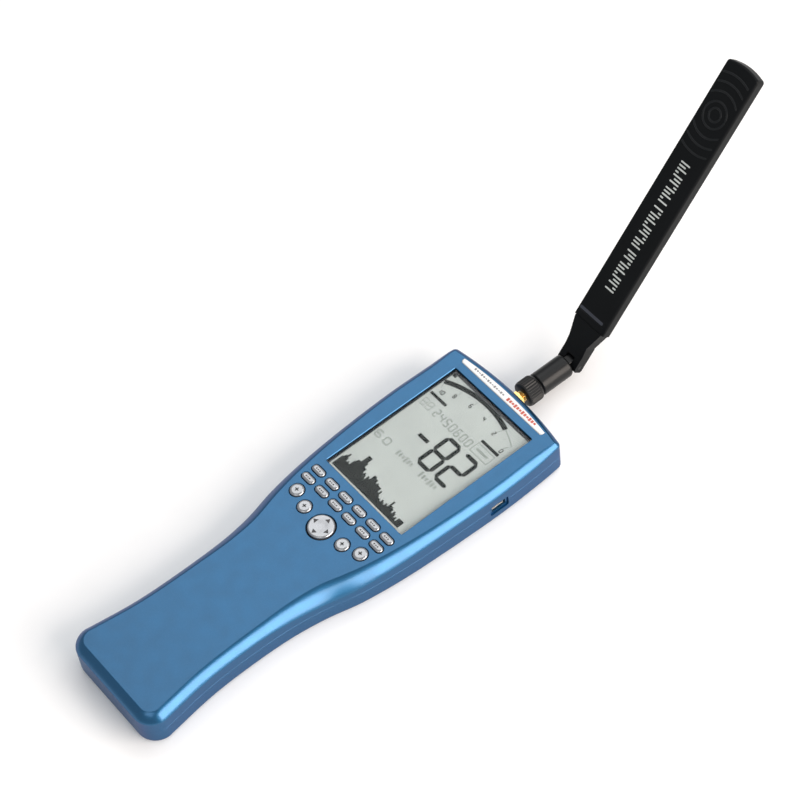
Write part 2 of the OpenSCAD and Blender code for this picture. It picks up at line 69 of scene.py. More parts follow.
def pivot(joint):
    """A joint's place, in millimetres."""
    return Vector(JOINTS[joint]["pos_m"]) / MM


# ---- The case's skin, on the same curves as the CAD shells ----

CASE_LOW, CASE_HIGH = cad_box("front_shell")
CASE_T = CASE_HIGH.z
SPLIT_Z = CASE_T / 2
TOP_Y = CASE_HIGH.y
BOTTOM_Y = CASE_LOW.y
WALL = 2.2
# The head's top edge falls by CROWN_DROP at CROWN_HALF from the middle
CROWN_DROP = 3.8
CROWN_HALF = 41.4
# Corners in plan, and the height at which the head's half width is read for its corners
HEAD_CORNER = 3
HEAD_WIDTH_Y = 121
FOOT_CORNER = 11
# The rear edge is round. The front edge is a power flatter, and its size runs along EDGE
REAR_R = 4
LEAST_R = 0.5
EDGE_POWER = 1.5
# (y, half width) of the sides and (y, size) of the front edge
SIDE = [(-134.6, 36), (-118, 33.4), (-95, 30.4), (-70, 29.6), (-45, 30.5), (-25, 33.4),
        (-5, 38.1), (20, 41.3), (50, 43.1), (80, 44), (105, 43.4), (127, 41.9)]
EDGE = [(-134.6, 5), (-60, 5.5), (-20, 8), (10, 6.5), (45, 5), (80, 4.6), (105, 4.4), (118, 3)]
SIDE_STEPS = 110
CORNER_STEPS = 10
CROWN_STEPS = 14
ARC_STEPS = 9
# Broken edge of each shell where the two meet
SEAM = 0.05


def slope(table, i):
    """Slope at a table's point, from its two neighbours."""
    a, b = table[max(i - 1, 0)], table[min(i + 1, len(table) - 1)]
    return (b[1] - a[1]) / (b[0] - a[0])


def curve(table, y):
    """Smooth curve through the points of a table."""
    y = min(max(y, table[0][0]), table[-1][0])
    i = 0
    while i < len(table) - 2 and y >= table[i + 1][0]:
        i += 1
    (y0, v0), (y1, v1) = table[i], table[i + 1]
    h = y1 - y0
    t = (y - y0) / h
    u = 1 - t
    return (v0 * (1 + 2 * t) * u * u + v1 * t * t * (3 - 2 * t)
            + h * slope(table, i) * t * u * u - h * slope(table, i + 1) * t * t * u)


def crown(x):
    """Height of the head's top edge."""
    return TOP_Y - CROWN_DROP * x * x / (CROWN_HALF * CROWN_HALF)


def edge_radius(y, depth, front):
    return max((curve(EDGE, y) if front else REAR_R) - depth, LEAST_R)


def bend(share, front):
    """The front edge is flatter than a circle."""
    return max(share, 0) ** EDGE_POWER if front else share


def inset(y, angle, depth, front):
    return depth + edge_radius(y, depth, front) * (1 - bend(cos(angle), front))


def level(y, angle, depth, front):
    h = depth + edge_radius(y, depth, front) * (1 - bend(sin(angle), front))
    return CASE_T - h if front else h


def skin_ring(angle, depth, front, z=None, extra=0):
    """One closed level of the skin: angle 0 on the side wall, a quarter turn on the flat face.

    depth is the distance under the surface, extra a step inwards that keeps the level.
    """
    foot_in = inset(BOTTOM_Y, angle, depth, front) + extra
    foot_r = max(FOOT_CORNER - foot_in, LEAST_R)
    foot_y = BOTTOM_Y + foot_in + foot_r
    foot_x = curve(SIDE, BOTTOM_Y + FOOT_CORNER) - foot_in - foot_r
    head_in = inset(TOP_Y, angle, depth, front) + extra
    corner_r = max(HEAD_CORNER - head_in, LEAST_R)
    corner_x = curve(SIDE, HEAD_WIDTH_Y) - head_in - corner_r
    corner_y = crown(corner_x) - head_in - corner_r
    foot_z = level(BOTTOM_Y, angle, depth, front)
    head_z = level(TOP_Y, angle, depth, front)
    half = []
    for i in range(CORNER_STEPS + 1):
        w = radians(-90 + 90 * i / CORNER_STEPS)
        half.append((foot_x + foot_r * cos(w), foot_y + foot_r * sin(w), foot_z))
    for i in range(1, SIDE_STEPS + 1):
        y = foot_y + (corner_y - foot_y) * i / (SIDE_STEPS + 1)
        x = curve(SIDE, y) - inset(y, angle, depth, front) - extra
        half.append((x, y, level(y, angle, depth, front)))
    for i in range(CORNER_STEPS + 1):
        w = radians(90 * i / CORNER_STEPS)
        half.append((corner_x + corner_r * cos(w), corner_y + corner_r * sin(w), head_z))
    for i in range(1, CROWN_STEPS + 1):
        x = corner_x * (1 - i / (CROWN_STEPS + 1))
        half.append((x, crown(x) - head_in, head_z))
    ring = half + [(0, crown(0) - head_in, head_z)] + [(-x, y, z0) for x, y, z0 in reversed(half)]
    return ring if z is None else [(x, y, z) for x, y, _ in ring]


def skin_rings(depth, front, start_z, seam=0):
    """The skin from the plane where the shells meet to the flat face."""
    away = 1 if front else -1
    rings = [skin_ring(0, depth, front, start_z, seam)]
    if seam:
        rings.append(skin_ring(0, depth, front, start_z + away * seam))
    for i in range(ARC_STEPS + 1):
        rings.append(skin_ring(radians(90 * i / ARC_STEPS), depth, front))
    return rings


# ---- Mesh helpers ----

WELD_DISTANCE = 2e-6
SHORTEST_EDGE = 1e-7
# Radius that stands for a point: a sharp corner, or a turned piece's end on its axis
POINT_R = 0.01
FLUTE_POWER = 0.6
SHARP_ANGLE = 32
BEVEL_ANGLE = 35
FACE_AREA_WEIGHT = 100


def mesh_object(name, points, faces, place=None):
    """A closed mesh from points in millimetres."""
    mesh = bpy.data.meshes.new(name)
    place = place or Matrix.Identity(4)
    mesh.from_pydata([place @ Vector(p) * MM for p in points], [], faces)
    work = bmesh.new()
    work.from_mesh(mesh)
    bmesh.ops.remove_doubles(work, verts=work.verts, dist=WELD_DISTANCE)
    bmesh.ops.dissolve_degenerate(work, edges=work.edges, dist=SHORTEST_EDGE)
    bmesh.ops.recalc_face_normals(work, faces=work.faces)
    work.to_mesh(mesh)
    work.free()
    obj = bpy.data.objects.new(name, mesh)
    bpy.context.scene.collection.objects.link(obj)
    return obj


def lofted(rings):
    """Points and faces of a closed solid through rings of equal length."""
    count = len(rings[0])
    points = [p for ring in rings for p in ring]
    faces = [list(range(count))]
    for k in range(len(rings) - 1):
        for i in range(count):
            j = (i + 1) % count
            faces.append([k * count + i, k * count + j, (k + 1) * count + j, (k + 1) * count + i])
    faces.append([(len(rings) - 1) * count + i for i in range(count)])
    return points, faces


def loft(name, rings, place=None):
    """An object from the rings of a closed solid."""
    return mesh_object(name, *lofted(rings), place=place)


def several(name, solids, place=None):
    """One object from the (points, faces) of several solids."""
    points, faces = [], []
    for some_points, some_faces in solids:
        base = len(points)
        points += some_points
        faces += [[base + i for i in face] for face in some_faces]
    return mesh_object(name, points, faces, place)


def rounded(cx, cy, w, h, r, grow=0, steps=8):
    """Outline of a rectangle with round corners, grown outwards."""
    r = max(r + grow, POINT_R)
    w, h = w / 2 + grow - r, h / 2 + grow - r
    outline = []
    for k, (sx, sy) in enumerate([(1, -1), (1, 1), (-1, 1), (-1, -1)]):
        for i in range(steps + 1):
            a = radians(-90 + 90 * k + 90 * i / steps)
            outline.append((cx + sx * w + r * cos(a), cy + sy * h + r * sin(a)))
    return outline


def at(outline, z):
    """An outline as a ring at one height."""
    return [(x, y, z) for x, y in outline]


def slab(outline, z0, z1):
    """Points and faces of an outline between two heights."""
    return lofted([at(outline, z0), at(outline, z1)])


def box_solid(low, high):
    """Points and faces of a plain box."""
    cx, cy = (low[0] + high[0]) / 2, (low[1] + high[1]) / 2
    outline = rounded(cx, cy, high[0] - low[0], high[1] - low[1], 0, steps=1)
    return slab(outline, low[2], high[2])


def turned_rings(profile, steps=96, ripple=None):
    """Rings of a turned piece round Z. profile is [(along, radius)], ripple is (count, depth, from, to)."""
    rings = []
    for along, radius in profile:
        ring = []
        for i in range(steps):
            a = 2 * pi * i / steps
            r = radius
            if ripple and ripple[2] <= along <= ripple[3]:
                r -= ripple[1] * (0.5 - 0.5 * cos(ripple[0] * a)) ** FLUTE_POWER
            ring.append((r * cos(a), r * sin(a), along))
        rings.append(ring)
    return rings


def quarter(steps):
    """(rise, inset) along a round edge of radius 1, after its first point."""
    turns = [radians(90 * i / steps) for i in range(1, steps + 1)]
    return [(sin(a), 1 - cos(a)) for a in turns]


def moved(rings, x, y):
    """Rings moved within their planes."""
    return [[(px + x, py + y, pz) for px, py, pz in ring] for ring in rings]


def carve(obj, cutter, operation="DIFFERENCE"):
    """Cuts an object with another, which is then removed."""
    change = obj.modifiers.new("cut", "BOOLEAN")
    change.operation = operation
    change.solver = "EXACT"
    change.use_self = True
    change.object = cutter
    graph = bpy.context.evaluated_depsgraph_get()
    mesh = bpy.data.meshes.new_from_object(obj.evaluated_get(graph))
    obj.modifiers.clear()
    obj.data = mesh
    bpy.data.objects.remove(cutter)


def smooth(obj, angle):
    """Smooth shading with sharp corners, in which large flat faces stay flat."""
    obj.data.shade_smooth()
    obj.data.set_sharp_from_angle(angle=radians(angle))
    flat = obj.modifiers.new("flat faces", "WEIGHTED_NORMAL")
    flat.keep_sharp = True
    flat.weight = FACE_AREA_WEIGHT


def finish_piece(obj, body, look, stands_for=(), slot=None, angle=SHARP_ANGLE):
    """Shading, material and body of a visual piece. A slot is worked out, the material's unless given, but
    not set on anything.
    """
    # Blender adds .001 to a name that a CAD node's material already has
    slot = slot or look.name.partition(".")[0]
    smooth(obj, angle)
    obj.data.materials.clear()
    obj.data.materials.append(look)
    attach(obj, body)
    if stands_for:
        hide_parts(*stands_for)


def dress(node, look, bevel):
    """A CAD node keeps its shape and gets broken edges and a material."""
    obj = NODES[node]
    weld = obj.modifiers.new("weld", "WELD")
    weld.merge_threshold = WELD_DISTANCE
    planar = obj.modifiers.new("planar", "DECIMATE")
    planar.decimate_type = "DISSOLVE"
    planar.angle_limit = radians(1)
    if bevel:
        edge = obj.modifiers.new("edges", "BEVEL")
        edge.width = bevel * MM
        edge.segments = 2
        edge.limit_method = "ANGLE"
        edge.angle_limit = radians(BEVEL_ANGLE)
    normals = obj.modifiers.new("flat faces", "WEIGHTED_NORMAL")
    normals.keep_sharp = True
    obj.data.materials.clear()
    obj.data.materials.append(look)
    for face in obj.data.polygons:
        face.use_smooth = True
        face.material_index = 0


# ---- Materials ----

# Scales of the noise, in waves per metre, and the depth of the grain in metres
MOTTLE_SCALE = 45
SMEAR_SCALE = 60
GLOSS_SCALE = 130
CHIP_SCALE = 700
FLAKE_SCALE = 4200
GRAIN_DEPTH = 0.0002
COAT_ROUGHNESS = 0.2
LENS_IOR = 1.2
# Sockets of a colour Mix node
MIX_FACTOR, MIX_A, MIX_B, MIX_RESULT = 0, 6, 7, 2


def set_inputs(node, **values):
    """Sets a node's own values; _ stands for a space in a socket's name."""
    for name, value in values.items():
        node.inputs[name.replace("_", " ")].default_value = value


def material(name, color, rough, metallic=0, coat=0, vary=0.06, rough_vary=0.08,
             grain=900, bump=0.05, wear=0, flake=0, sheen=0.5, coat_ior=1.5, edge_tint=(1, 1, 1)):
    """Moulded, painted or metal surface: mottled colour, uneven gloss, fine grain and worn edges."""
    made = bpy.data.materials.new(name)
    made.use_nodes = True
    tree = made.node_tree
    nodes, links = tree.nodes, tree.links
    shader = nodes["Principled BSDF"]
    set_inputs(shader, Metallic=metallic, Specular_IOR_Level=sheen, Specular_Tint=(*edge_tint, 1),
               Coat_Weight=coat, Coat_Roughness=COAT_ROUGHNESS, Coat_IOR=coat_ior)
    place = nodes.new("ShaderNodeTexCoord")

    def noise(scale, detail=3):
        node = nodes.new("ShaderNodeTexNoise")
        set_inputs(node, Scale=scale, Detail=detail)
        links.new(place.outputs["Object"], node.inputs["Vector"])
        return node.outputs["Fac"]

    def remap(value, low, high, a, b):
        node = nodes.new("ShaderNodeMapRange")
        set_inputs(node, From_Min=low, From_Max=high, To_Min=a, To_Max=b)
        links.new(value, node.inputs["Value"])
        return node.outputs["Result"]

    def mix(factor, a, b):
        node = nodes.new("ShaderNodeMix")
        node.data_type = "RGBA"
        for socket, value in ((node.inputs[MIX_A], a), (node.inputs[MIX_B], b)):
            if isinstance(value, tuple):
                socket.default_value = (*value, 1)
            else:
                links.new(value, socket)
        links.new(factor, node.inputs[MIX_FACTOR])
        return node.outputs[MIX_RESULT]

    darker = tuple(c * (1 - vary) for c in color)
    lighter = tuple(min(c * (1 + vary), 1) for c in color)
    shade = mix(remap(noise(MOTTLE_SCALE), 0.3, 0.7, 0, 1), darker, lighter)
    if flake:
        spots = nodes.new("ShaderNodeTexVoronoi")
        set_inputs(spots, Scale=FLAKE_SCALE)
        links.new(place.outputs["Object"], spots.inputs["Vector"])
        bright = tuple(min(c * 1.5 + 0.05, 1) for c in color)
        shade = mix(remap(spots.outputs["Color"], 0.55, 1, 0, flake), shade, bright)
    gloss = remap(noise(GLOSS_SCALE, 5), 0.3, 0.7, rough - rough_vary / 2, rough + rough_vary / 2)
    if wear:
        edges = nodes.new("ShaderNodeNewGeometry")
        chips = noise(CHIP_SCALE, 4)
        ridge = remap(edges.outputs["Pointiness"], 0.515, 0.58, 0, 1)
        both = nodes.new("ShaderNodeMath")
        both.operation = "MULTIPLY"
        links.new(ridge, both.inputs[0])
        links.new(remap(chips, 0.4, 0.65, 0, wear), both.inputs[1])
        rubbed = tuple(min(c * 1.6 + 0.06, 1) for c in color)
        shade = mix(both.outputs[0], shade, rubbed)
    links.new(shade, shader.inputs["Base Color"])
    links.new(gloss, shader.inputs["Roughness"])
    if bump:
        relief = nodes.new("ShaderNodeBump")
        set_inputs(relief, Strength=bump, Distance=GRAIN_DEPTH)
        links.new(noise(grain, 4), relief.inputs["Height"])
        links.new(relief.outputs["Normal"], shader.inputs["Normal"])
    return made


def clear_material(name, color, rough):
    """Clear acrylic, which lets the lamps through to what lies behind it."""
    made = bpy.data.materials.new(name)
    made.use_nodes = True
    nodes, links = made.node_tree.nodes, made.node_tree.links
    shader = nodes["Principled BSDF"]
    set_inputs(shader, Base_Color=(*color, 1), Transmission_Weight=1, IOR=LENS_IOR)
    place = nodes.new("ShaderNodeTexCoord")
    smear = nodes.new("ShaderNodeTexNoise")
    set_inputs(smear, Scale=SMEAR_SCALE)
    links.new(place.outputs["Object"], smear.inputs["Vector"])
    spread = nodes.new("ShaderNodeMapRange")
    set_inputs(spread, To_Min=rough * 0.5, To_Max=rough * 1.5)
    links.new(smear.outputs["Fac"], spread.inputs["Value"])
    links.new(spread.outputs["Result"], shader.inputs["Roughness"])
    clear = nodes.new("ShaderNodeBsdfTransparent")
    ray = nodes.new("ShaderNodeLightPath")
    mix = nodes.new("ShaderNodeMixShader")
    links.new(ray.outputs["Is Shadow Ray"], mix.inputs["Fac"])
    links.new(shader.outputs["BSDF"], mix.inputs[1])
    links.new(clear.outputs["BSDF"], mix.inputs[2])
    links.new(mix.outputs["Shader"], nodes["Material Output"].inputs["Surface"])
    return made


CASE_BLUE = material("case_blue", (0.008, 0.094, 0.212), 0.32, metallic=0.85, coat=0.4, vary=0.02,
                     grain=1500, bump=0.02, wear=0.07, flake=0.12, coat_ior=1.8,
                     edge_tint=(0.1, 0.3, 0.5))
KEY_SILVER = material("key_silver", (0.35, 0.36, 0.375), 0.22, metallic=0.8, coat=0.4, vary=0.03,
                      grain=1200, bump=0.03, flake=0.2)
PART_GREY = material("part_grey", (0.04, 0.04, 0.043), 0.5, grain=1100, bump=0.1, wear=0.15)
LABEL_WHITE = material("label_white", (0.74, 0.75, 0.75), 0.28, coat=0.5, vary=0.015, bump=0.02)
INK_GREY = material("ink_grey", (0.2, 0.2, 0.21), 0.5, vary=0.1)
INK_RED = material("ink_red", (0.5, 0.1, 0.07), 0.5, vary=0.1)
INK_WHITE = material("ink_white", (0.52, 0.55, 0.53), 0.5, vary=0.08, rough_vary=0.15)
LCD_GLASS = material("lcd_glass", (0.29, 0.322, 0.316), 0.5, vary=0.04, grain=2400, bump=0.02, sheen=0.2)
LCD_INK = material("lcd_ink", (0.012, 0.015, 0.015), 0.6, vary=0.1, bump=0, sheen=0)
LCD_PALE_INK = material("lcd_pale_ink", (0.19, 0.22, 0.21), 0.5, vary=0.1, bump=0, sheen=0.1)
KEY_INK = material("key_ink", (0.09, 0.095, 0.1), 0.5, vary=0.15)
LENS_CLEAR = clear_material("lens_clear", (0.97, 0.98, 0.98), 0.04)
# Black of the lens's printed border, which at its wider top and left also stands for painted shade of the
# window's walls
MASK_AND_SHADE_BLACK = material("mask_and_shade_black", (0.008, 0.01, 0.013), 0.35)
FRAME_BLACK = material("frame_black", (0.02, 0.02, 0.022), 0.55)
ANTENNA_BLACK = material("antenna_black", (0.0035, 0.0042, 0.0048), 0.42, vary=0.1, rough_vary=0.05,
                         grain=1600, bump=0.05, sheen=0.12)
# A lighter copy of the blade's black for its raised ribs: painted highlight
RIB_HIGHLIGHT_BLACK = material("rib_painted_highlight", (0.006, 0.0075, 0.0085), 0.35, vary=0.1, rough_vary=0.05, sheen=0.22)
BARREL_BLACK = material("barrel_black", (0.006, 0.0065, 0.007), 0.3, vary=0.1, rough_vary=0.06,
                        grain=1600, bump=0.05, sheen=0.24)
# Lighter strip beside the blade's shoulder chamfer: partly painted highlight of that chamfer, partly faint
# lettering
SHOULDER_HIGHLIGHT_AND_PRINT = material("shoulder_highlight_and_print", (0.03, 0.034, 0.046), 0.4, vary=0.25, rough_vary=0.15, grain=1600)
NUT_BLACK = material("nut_black", (0.006, 0.0062, 0.0066), 0.38, vary=0.1, bump=0.05, wear=0.12, sheen=0.3)
CONTACT_GOLD = material("contact_gold", (0.9, 0.62, 0.24), 0.2, metallic=1, vary=0.05, bump=0.04)
CAN_TIN = material("can_tin", (0.62, 0.62, 0.6), 0.35, metallic=1, bump=0.08)
SCREW_STEEL = material("screw_steel", (0.52, 0.52, 0.52), 0.32, metallic=1, bump=0.06)
PIN_STEEL = material("pin_steel", (0.03, 0.03, 0.032), 0.35, metallic=0.8, bump=0.04)
INSERT_BRASS = material("insert_brass", (0.68, 0.47, 0.2), 0.33, metallic=1, bump=0.08)
MAT_RUBBER = material("mat_rubber", (0.12, 0.125, 0.13), 0.75, bump=0.2)
ZEBRA_RUBBER = material("zebra_rubber", (0.5, 0.28, 0.28), 0.7, vary=0.2)
BOARD_GREEN = material("board_green", (0.015, 0.13, 0.055), 0.35, vary=0.18, bump=0.1)
CHIP_BLACK = material("chip_black", (0.015, 0.015, 0.016), 0.55, bump=0.1)
CONNECTOR_IVORY = material("connector_ivory", (0.66, 0.62, 0.5), 0.5, bump=0.05)
INSULATOR_WHITE = material("insulator_white", (0.82, 0.82, 0.8), 0.5)
LIGHT_GUIDE = material("light_guide", (0.8, 0.81, 0.79), 0.4)
CELL_FILM = material("cell_film", (0.03, 0.09, 0.3), 0.3, coat=0.6, vary=0.1, bump=0.1, grain=200)
COPPER = material("coax_copper", (0.6, 0.32, 0.18), 0.35, metallic=1)


# ---- Openings shared by both shells ----

# The USB opening and the shallow recess round it, each (size along the side, size across it)
USB_Y = cad_centre("usb_socket").y
USB_Z = 10.3
USB_MOUTH = (8.8, 4.8)
USB_RECESS = (11.6, 6.8)
USB_CORNER = 1
USB_RECESS_X = 43
PHONE_Y = cad_centre("earphone_jack").y
PHONE_Z = 9.2
PHONE_HOLE_R = 3.1
JOG_Y = cad_centre("jog_dial").y
JOG_Z = 8.1
JOG_SLOT = (13.6, 4.2)
JOG_CORNER = 1.2
# The antenna socket and what screws on it are turned round the Y axis, half way up the case
SOCKET_HOLE_R = 3.3
AXIS_Z = SPLIT_Z
ALONG_Y = Matrix.Translation((0, 0, AXIS_Z)) @ Matrix.Rotation(radians(-90), 4, "X")


def side_cutter():
    """Openings for the USB socket, the earphone jack, the jog dial and the antenna socket."""
    solids = []

    def along_x(rings):
        points, faces = lofted(rings)
        solids.append(([(z, y, x) for x, y, z in points], faces))

    def opening(y, z, size, corner, x, grow=0):
        along, across = size
        return at(rounded(z, y, across, along, corner, grow), x)

    def usb(size, x, grow=0):
        return opening(USB_Y, USB_Z, size, USB_CORNER, x, grow)

    def phone(x, grow=0):
        return opening(PHONE_Y, PHONE_Z, (2 * PHONE_HOLE_R, 2 * PHONE_HOLE_R), PHONE_HOLE_R, x, grow)

    along_x([usb(USB_MOUTH, 40), usb(USB_MOUTH, USB_RECESS_X), usb(USB_RECESS, USB_RECESS_X),
             usb(USB_RECESS, 43.6), usb(USB_RECESS, 44.3, 0.15)])
    along_x([phone(-39), phone(-43.2), phone(-43.8, 0.6)])
    along_x([opening(JOG_Y, JOG_Z, JOG_SLOT, JOG_CORNER, x) for x in (-38, -46)])
    points, faces = lofted(turned_rings([(120, SOCKET_HOLE_R), (130, SOCKET_HOLE_R)]))
    solids.append(([(ALONG_Y @ Vector(p))[:] for p in points], faces))
    return several("side_cutter", solids)


# ---- Front shell with its window and key holes ----

LENS_LOW, LENS_HIGH = cad_box("display_lens")
WINDOW_W = 61.3
WINDOW_H = 86.2
WINDOW_Y = cad_centre("display_lens").y
WINDOW_CORNER = 0.8
WINDOW_BREAK = 0.6
LENS_MARGIN = 3.5
# The cutters start between the face's underside and what lies under it
LENS_POCKET_Z = 19.1
UNDER_FACE_Z = 19.8
KEY_GAP = 0.3
NAV_GAP = 0.6
HOLE_BREAK = 0.3
PILLS = [f"key_{row}_{i}" for row in ("upper", "lower") for i in range(1, 7)]
ROUNDS = [f"key_round_{i}" for i in range(1, 5)]
FLANGE_EXTRA = 1.4
LABEL_HALF = 31.9
LABEL_Y = 118
LABEL_CORNER = 1
LABEL_MARGIN = 3.7
LABEL_STEPS = 24
LABEL_GAP = 0.12


def key_outline(node, grow):
    """Outline of a key's cap; its CAD box is that of its wider flange."""
    low, high = cad_box(node)
    centre = cad_centre(node)
    w, h = high.x - low.x - FLANGE_EXTRA, high.y - low.y - FLANGE_EXTRA
    return rounded(centre.x, centre.y, w, h, h / 2, grow)


def label_outline(grow):
    """Straight below, and parallel to the crown of the head above."""
    half = LABEL_HALF + grow
    y = LABEL_Y - grow
    outline = [(-half + LABEL_CORNER, y), (half - LABEL_CORNER, y), (half, y + LABEL_CORNER)]
    for i in range(LABEL_STEPS + 1):
        x = half * (1 - 2 * i / LABEL_STEPS)
        outline.append((x, crown(x) - LABEL_MARGIN + grow))
    outline.append((-half, y + LABEL_CORNER))
    return outline


def face_cutter():
    """The window, the key holes and the label's recess, each with a broken edge."""
    window = rounded(0, WINDOW_Y, WINDOW_W, WINDOW_H, WINDOW_CORNER)
    rim = rounded(0, WINDOW_Y, WINDOW_W, WINDOW_H, WINDOW_CORNER, WINDOW_BREAK)
    pocket = rounded(0, WINDOW_Y, WINDOW_W + LENS_MARGIN, WINDOW_H + LENS_MARGIN, 0.5)
    lip = LENS_HIGH.z
    solids = [lofted([at(pocket, LENS_POCKET_Z), at(pocket, lip), at(window, lip),
                      at(window, CASE_T - 0.25), at(rim, CASE_T + 0.35)])]
    low, high = CASE_T - HOLE_BREAK, CASE_T + HOLE_BREAK
    for node in PILLS + ROUNDS:
        hole = key_outline(node, KEY_GAP)
        edge = key_outline(node, KEY_GAP + 2 * HOLE_BREAK)
        solids.append(lofted([at(hole, UNDER_FACE_Z), at(hole, low), at(edge, high)]))
    disc = cad_box("nav_disc")[1].x + NAV_GAP
    solids.append(lofted(turned_rings([(UNDER_FACE_Z, disc), (low, disc), (high, disc + 2 * HOLE_BREAK)])))
    label = label_outline(LABEL_GAP)
    solids.append(slab(label, CASE_T - 0.5, CASE_T + 1))
    return several("face_cutter", solids)


def front_shell():
    """Skin, cavity, and the openings in the face and the sides."""
    shell = loft("front_case", skin_rings(0, True, SPLIT_Z, SEAM))
    carve(shell, loft("cavity", skin_rings(WALL, True, SPLIT_Z - 1)))
    carve(shell, face_cutter())
    carve(shell, side_cutter())
    finish_piece(shell, "case", CASE_BLUE, ["front_shell"])


# ---- Rear shell, with the battery door, the screws and the tripod thread ----

DOOR_HIGH = cad_box("battery_door")[1]
DOOR_HALF = 16.5
DOOR_GAP = 0.3
# The door's outer panel ends at DOOR_STEP_Z, and its tongues run inside the shell above it
DOOR_STEP_Z = 2.1
DOOR_LEDGE_Z = 2.3
TONGUE_X = 17.4
# Ribs beside the battery: their place, thickness and ends
BAY_X = 20.5
BAY_T = 1.4
BAY_Y0, BAY_Y1 = -122, -27
CASE_SCREWS = [(36.2, 108), (33, 8), (25.5, -118)]
SCREW_SEAT = 3.4
SCREW_WELL_R = 2.6
SCREW_BORE_R = 1.3
SCREW_BOSS_R = 3.4
INSERT_R = 5
INSERT_H = 8
INSERT_BOSS_R = 6.8
SPEAKER_Y = cad_centre("speaker").y
SPEAKER_SLOT = (14, 1)
SPEAKER_PITCH = 2.4
# How far a cutter passes the bottom end that it opens
BEYOND = 5


def screw_places():
    """The case screws on both sides."""
    return [(side * x, y) for x, y in CASE_SCREWS for side in (1, -1)]


def rear_shell():
    """Skin and cavity, then bosses and ribs, then every opening."""
    shell = loft("rear_case", skin_rings(0, False, SPLIT_Z, SEAM))
    carve(shell, loft("cavity", skin_rings(WALL, False, SPLIT_Z + 1)))
    boss = turned_rings([(1, SCREW_BOSS_R), (SPLIT_Z, SCREW_BOSS_R)], 40)
    bosses = [lofted(moved(boss, x, y)) for x, y in screw_places()]
    bosses.append(lofted(turned_rings([(1, INSERT_BOSS_R), (INSERT_H, INSERT_BOSS_R)], 64)))
    for x in (BAY_X, -BAY_X):
        bosses.append(box_solid((x - BAY_T / 2, BAY_Y0, 1), (x + BAY_T / 2, BAY_Y1, SPLIT_Z)))
    carve(shell, several("bosses", bosses), "UNION")
    well = turned_rings([(-1, SCREW_WELL_R), (SCREW_SEAT, SCREW_WELL_R), (SCREW_SEAT, SCREW_BORE_R),
                         (SPLIT_Z + 1, SCREW_BORE_R)], 48)
    solids = [lofted(moved(well, x, y)) for x, y in screw_places()]
    solids.append(lofted(turned_rings([(-1, INSERT_R + 1.4), (0.4, INSERT_R), (INSERT_H + 1, INSERT_R)], 64)))
    for i in range(-3, 4):
        slot = rounded(0, SPEAKER_Y + SPEAKER_PITCH * i, *SPEAKER_SLOT, SPEAKER_SLOT[1] / 2)
        solids.append(slab(slot, -1, WALL + 0.5))
    reach = DOOR_HALF + DOOR_GAP
    solids.append(box_solid((-reach, BOTTOM_Y - BEYOND, -1), (reach, DOOR_HIGH.y + DOOR_GAP, DOOR_LEDGE_Z)))
    rail = DOOR_HIGH.x + DOOR_GAP
    solids.append(box_solid((-rail, BOTTOM_Y - BEYOND, DOOR_LEDGE_Z),
                            (rail, BOTTOM_Y + 9, DOOR_HIGH.z + 0.25)))
    carve(shell, several("rear_cutter", solids))
    carve(shell, side_cutter())
    finish_piece(shell, "case", CASE_BLUE, ["rear_shell"])


def battery_door():
    """Part of the case's skin, with a grip pattern and two tongues."""
    door = loft("battery_cover_panel", skin_rings(0, False, SPLIT_Z))
    keep = several("door_keep", [
        box_solid((-DOOR_HALF, BOTTOM_Y - BEYOND, 0.1), (DOOR_HALF, DOOR_HIGH.y, DOOR_STEP_Z)),
        box_solid((-DOOR_HALF, BOTTOM_Y - BEYOND, DOOR_STEP_Z), (DOOR_HALF, DOOR_HIGH.y - 2, DOOR_HIGH.z)),
    ])
    carve(door, keep, "INTERSECT")
    grip = []
    for i in range(6):
        ridge = rounded(0, BOTTOM_Y + 16 + 2.2 * i, 18 - 1.6 * i, 1.1, 0.5)
        grip.append(slab(ridge, -0.5, 0.6))
    carve(door, several("grip_cutter", grip))
    tongues = several("tongues", [
        box_solid((x - 1, BOTTOM_Y + 5, 2.45), (x + 1, DOOR_HIGH.y - 2, DOOR_HIGH.z))
        for x in (TONGUE_X, -TONGUE_X)])
    carve(door, tongues, "UNION")
    finish_piece(door, "battery_cover", CASE_BLUE, ["battery_door"])


def case_screws():
    """Pan heads with a cross recess, seen from the back."""
    profile = [(SCREW_SEAT - 1.8, 1.5), (SCREW_SEAT - 1.6, 2.1), (SCREW_SEAT - 1.2, 2.4),
               (SCREW_SEAT, 2.4), (SCREW_SEAT, 1.05), (17.5, 1.05)]
    screw = turned_rings(profile, 36)
    screws = several("case_screw_set", [lofted(moved(screw, x, y)) for x, y in screw_places()])
    reach, half = 1.3, 0.28
    for half_x, half_y in ((reach, half), (half, reach)):
        slots = [box_solid((x - half_x, y - half_y, SCREW_SEAT - 3),
                           (x + half_x, y + half_y, SCREW_SEAT - 0.9)) for x, y in screw_places()]
        carve(screws, several("cross", slots))
    finish_piece(screws, "case", SCREW_STEEL, ["case_screws"])


def tripod_insert():
    """Brass insert, with the turns of its thread inside."""
    pitch = 1.27
    thread_end = 6.5
    profile = [(INSERT_H, POINT_R), (INSERT_H, INSERT_R), (0.35, INSERT_R), (0, INSERT_R - 0.3), (0, 3.6)]
    for i in range(int(thread_end / pitch)):
        profile += [(0.3 + pitch * i, 3.18), (0.3 + pitch * (i + 0.5), 2.75)]
    profile += [(thread_end, 3.1), (thread_end, POINT_R)]
    insert = loft("tripod_bush", turned_rings(profile, 72))
    finish_piece(insert, "case", INSERT_BRASS, ["tripod_insert"])


# ---- Display ----

LCD_TOP = cad_box("lcd_panel")[1].z
MARK_T = 0.1
# Each end of a digit's segment is cut back by this share of its stroke
SEGMENT_GAP = 0.04


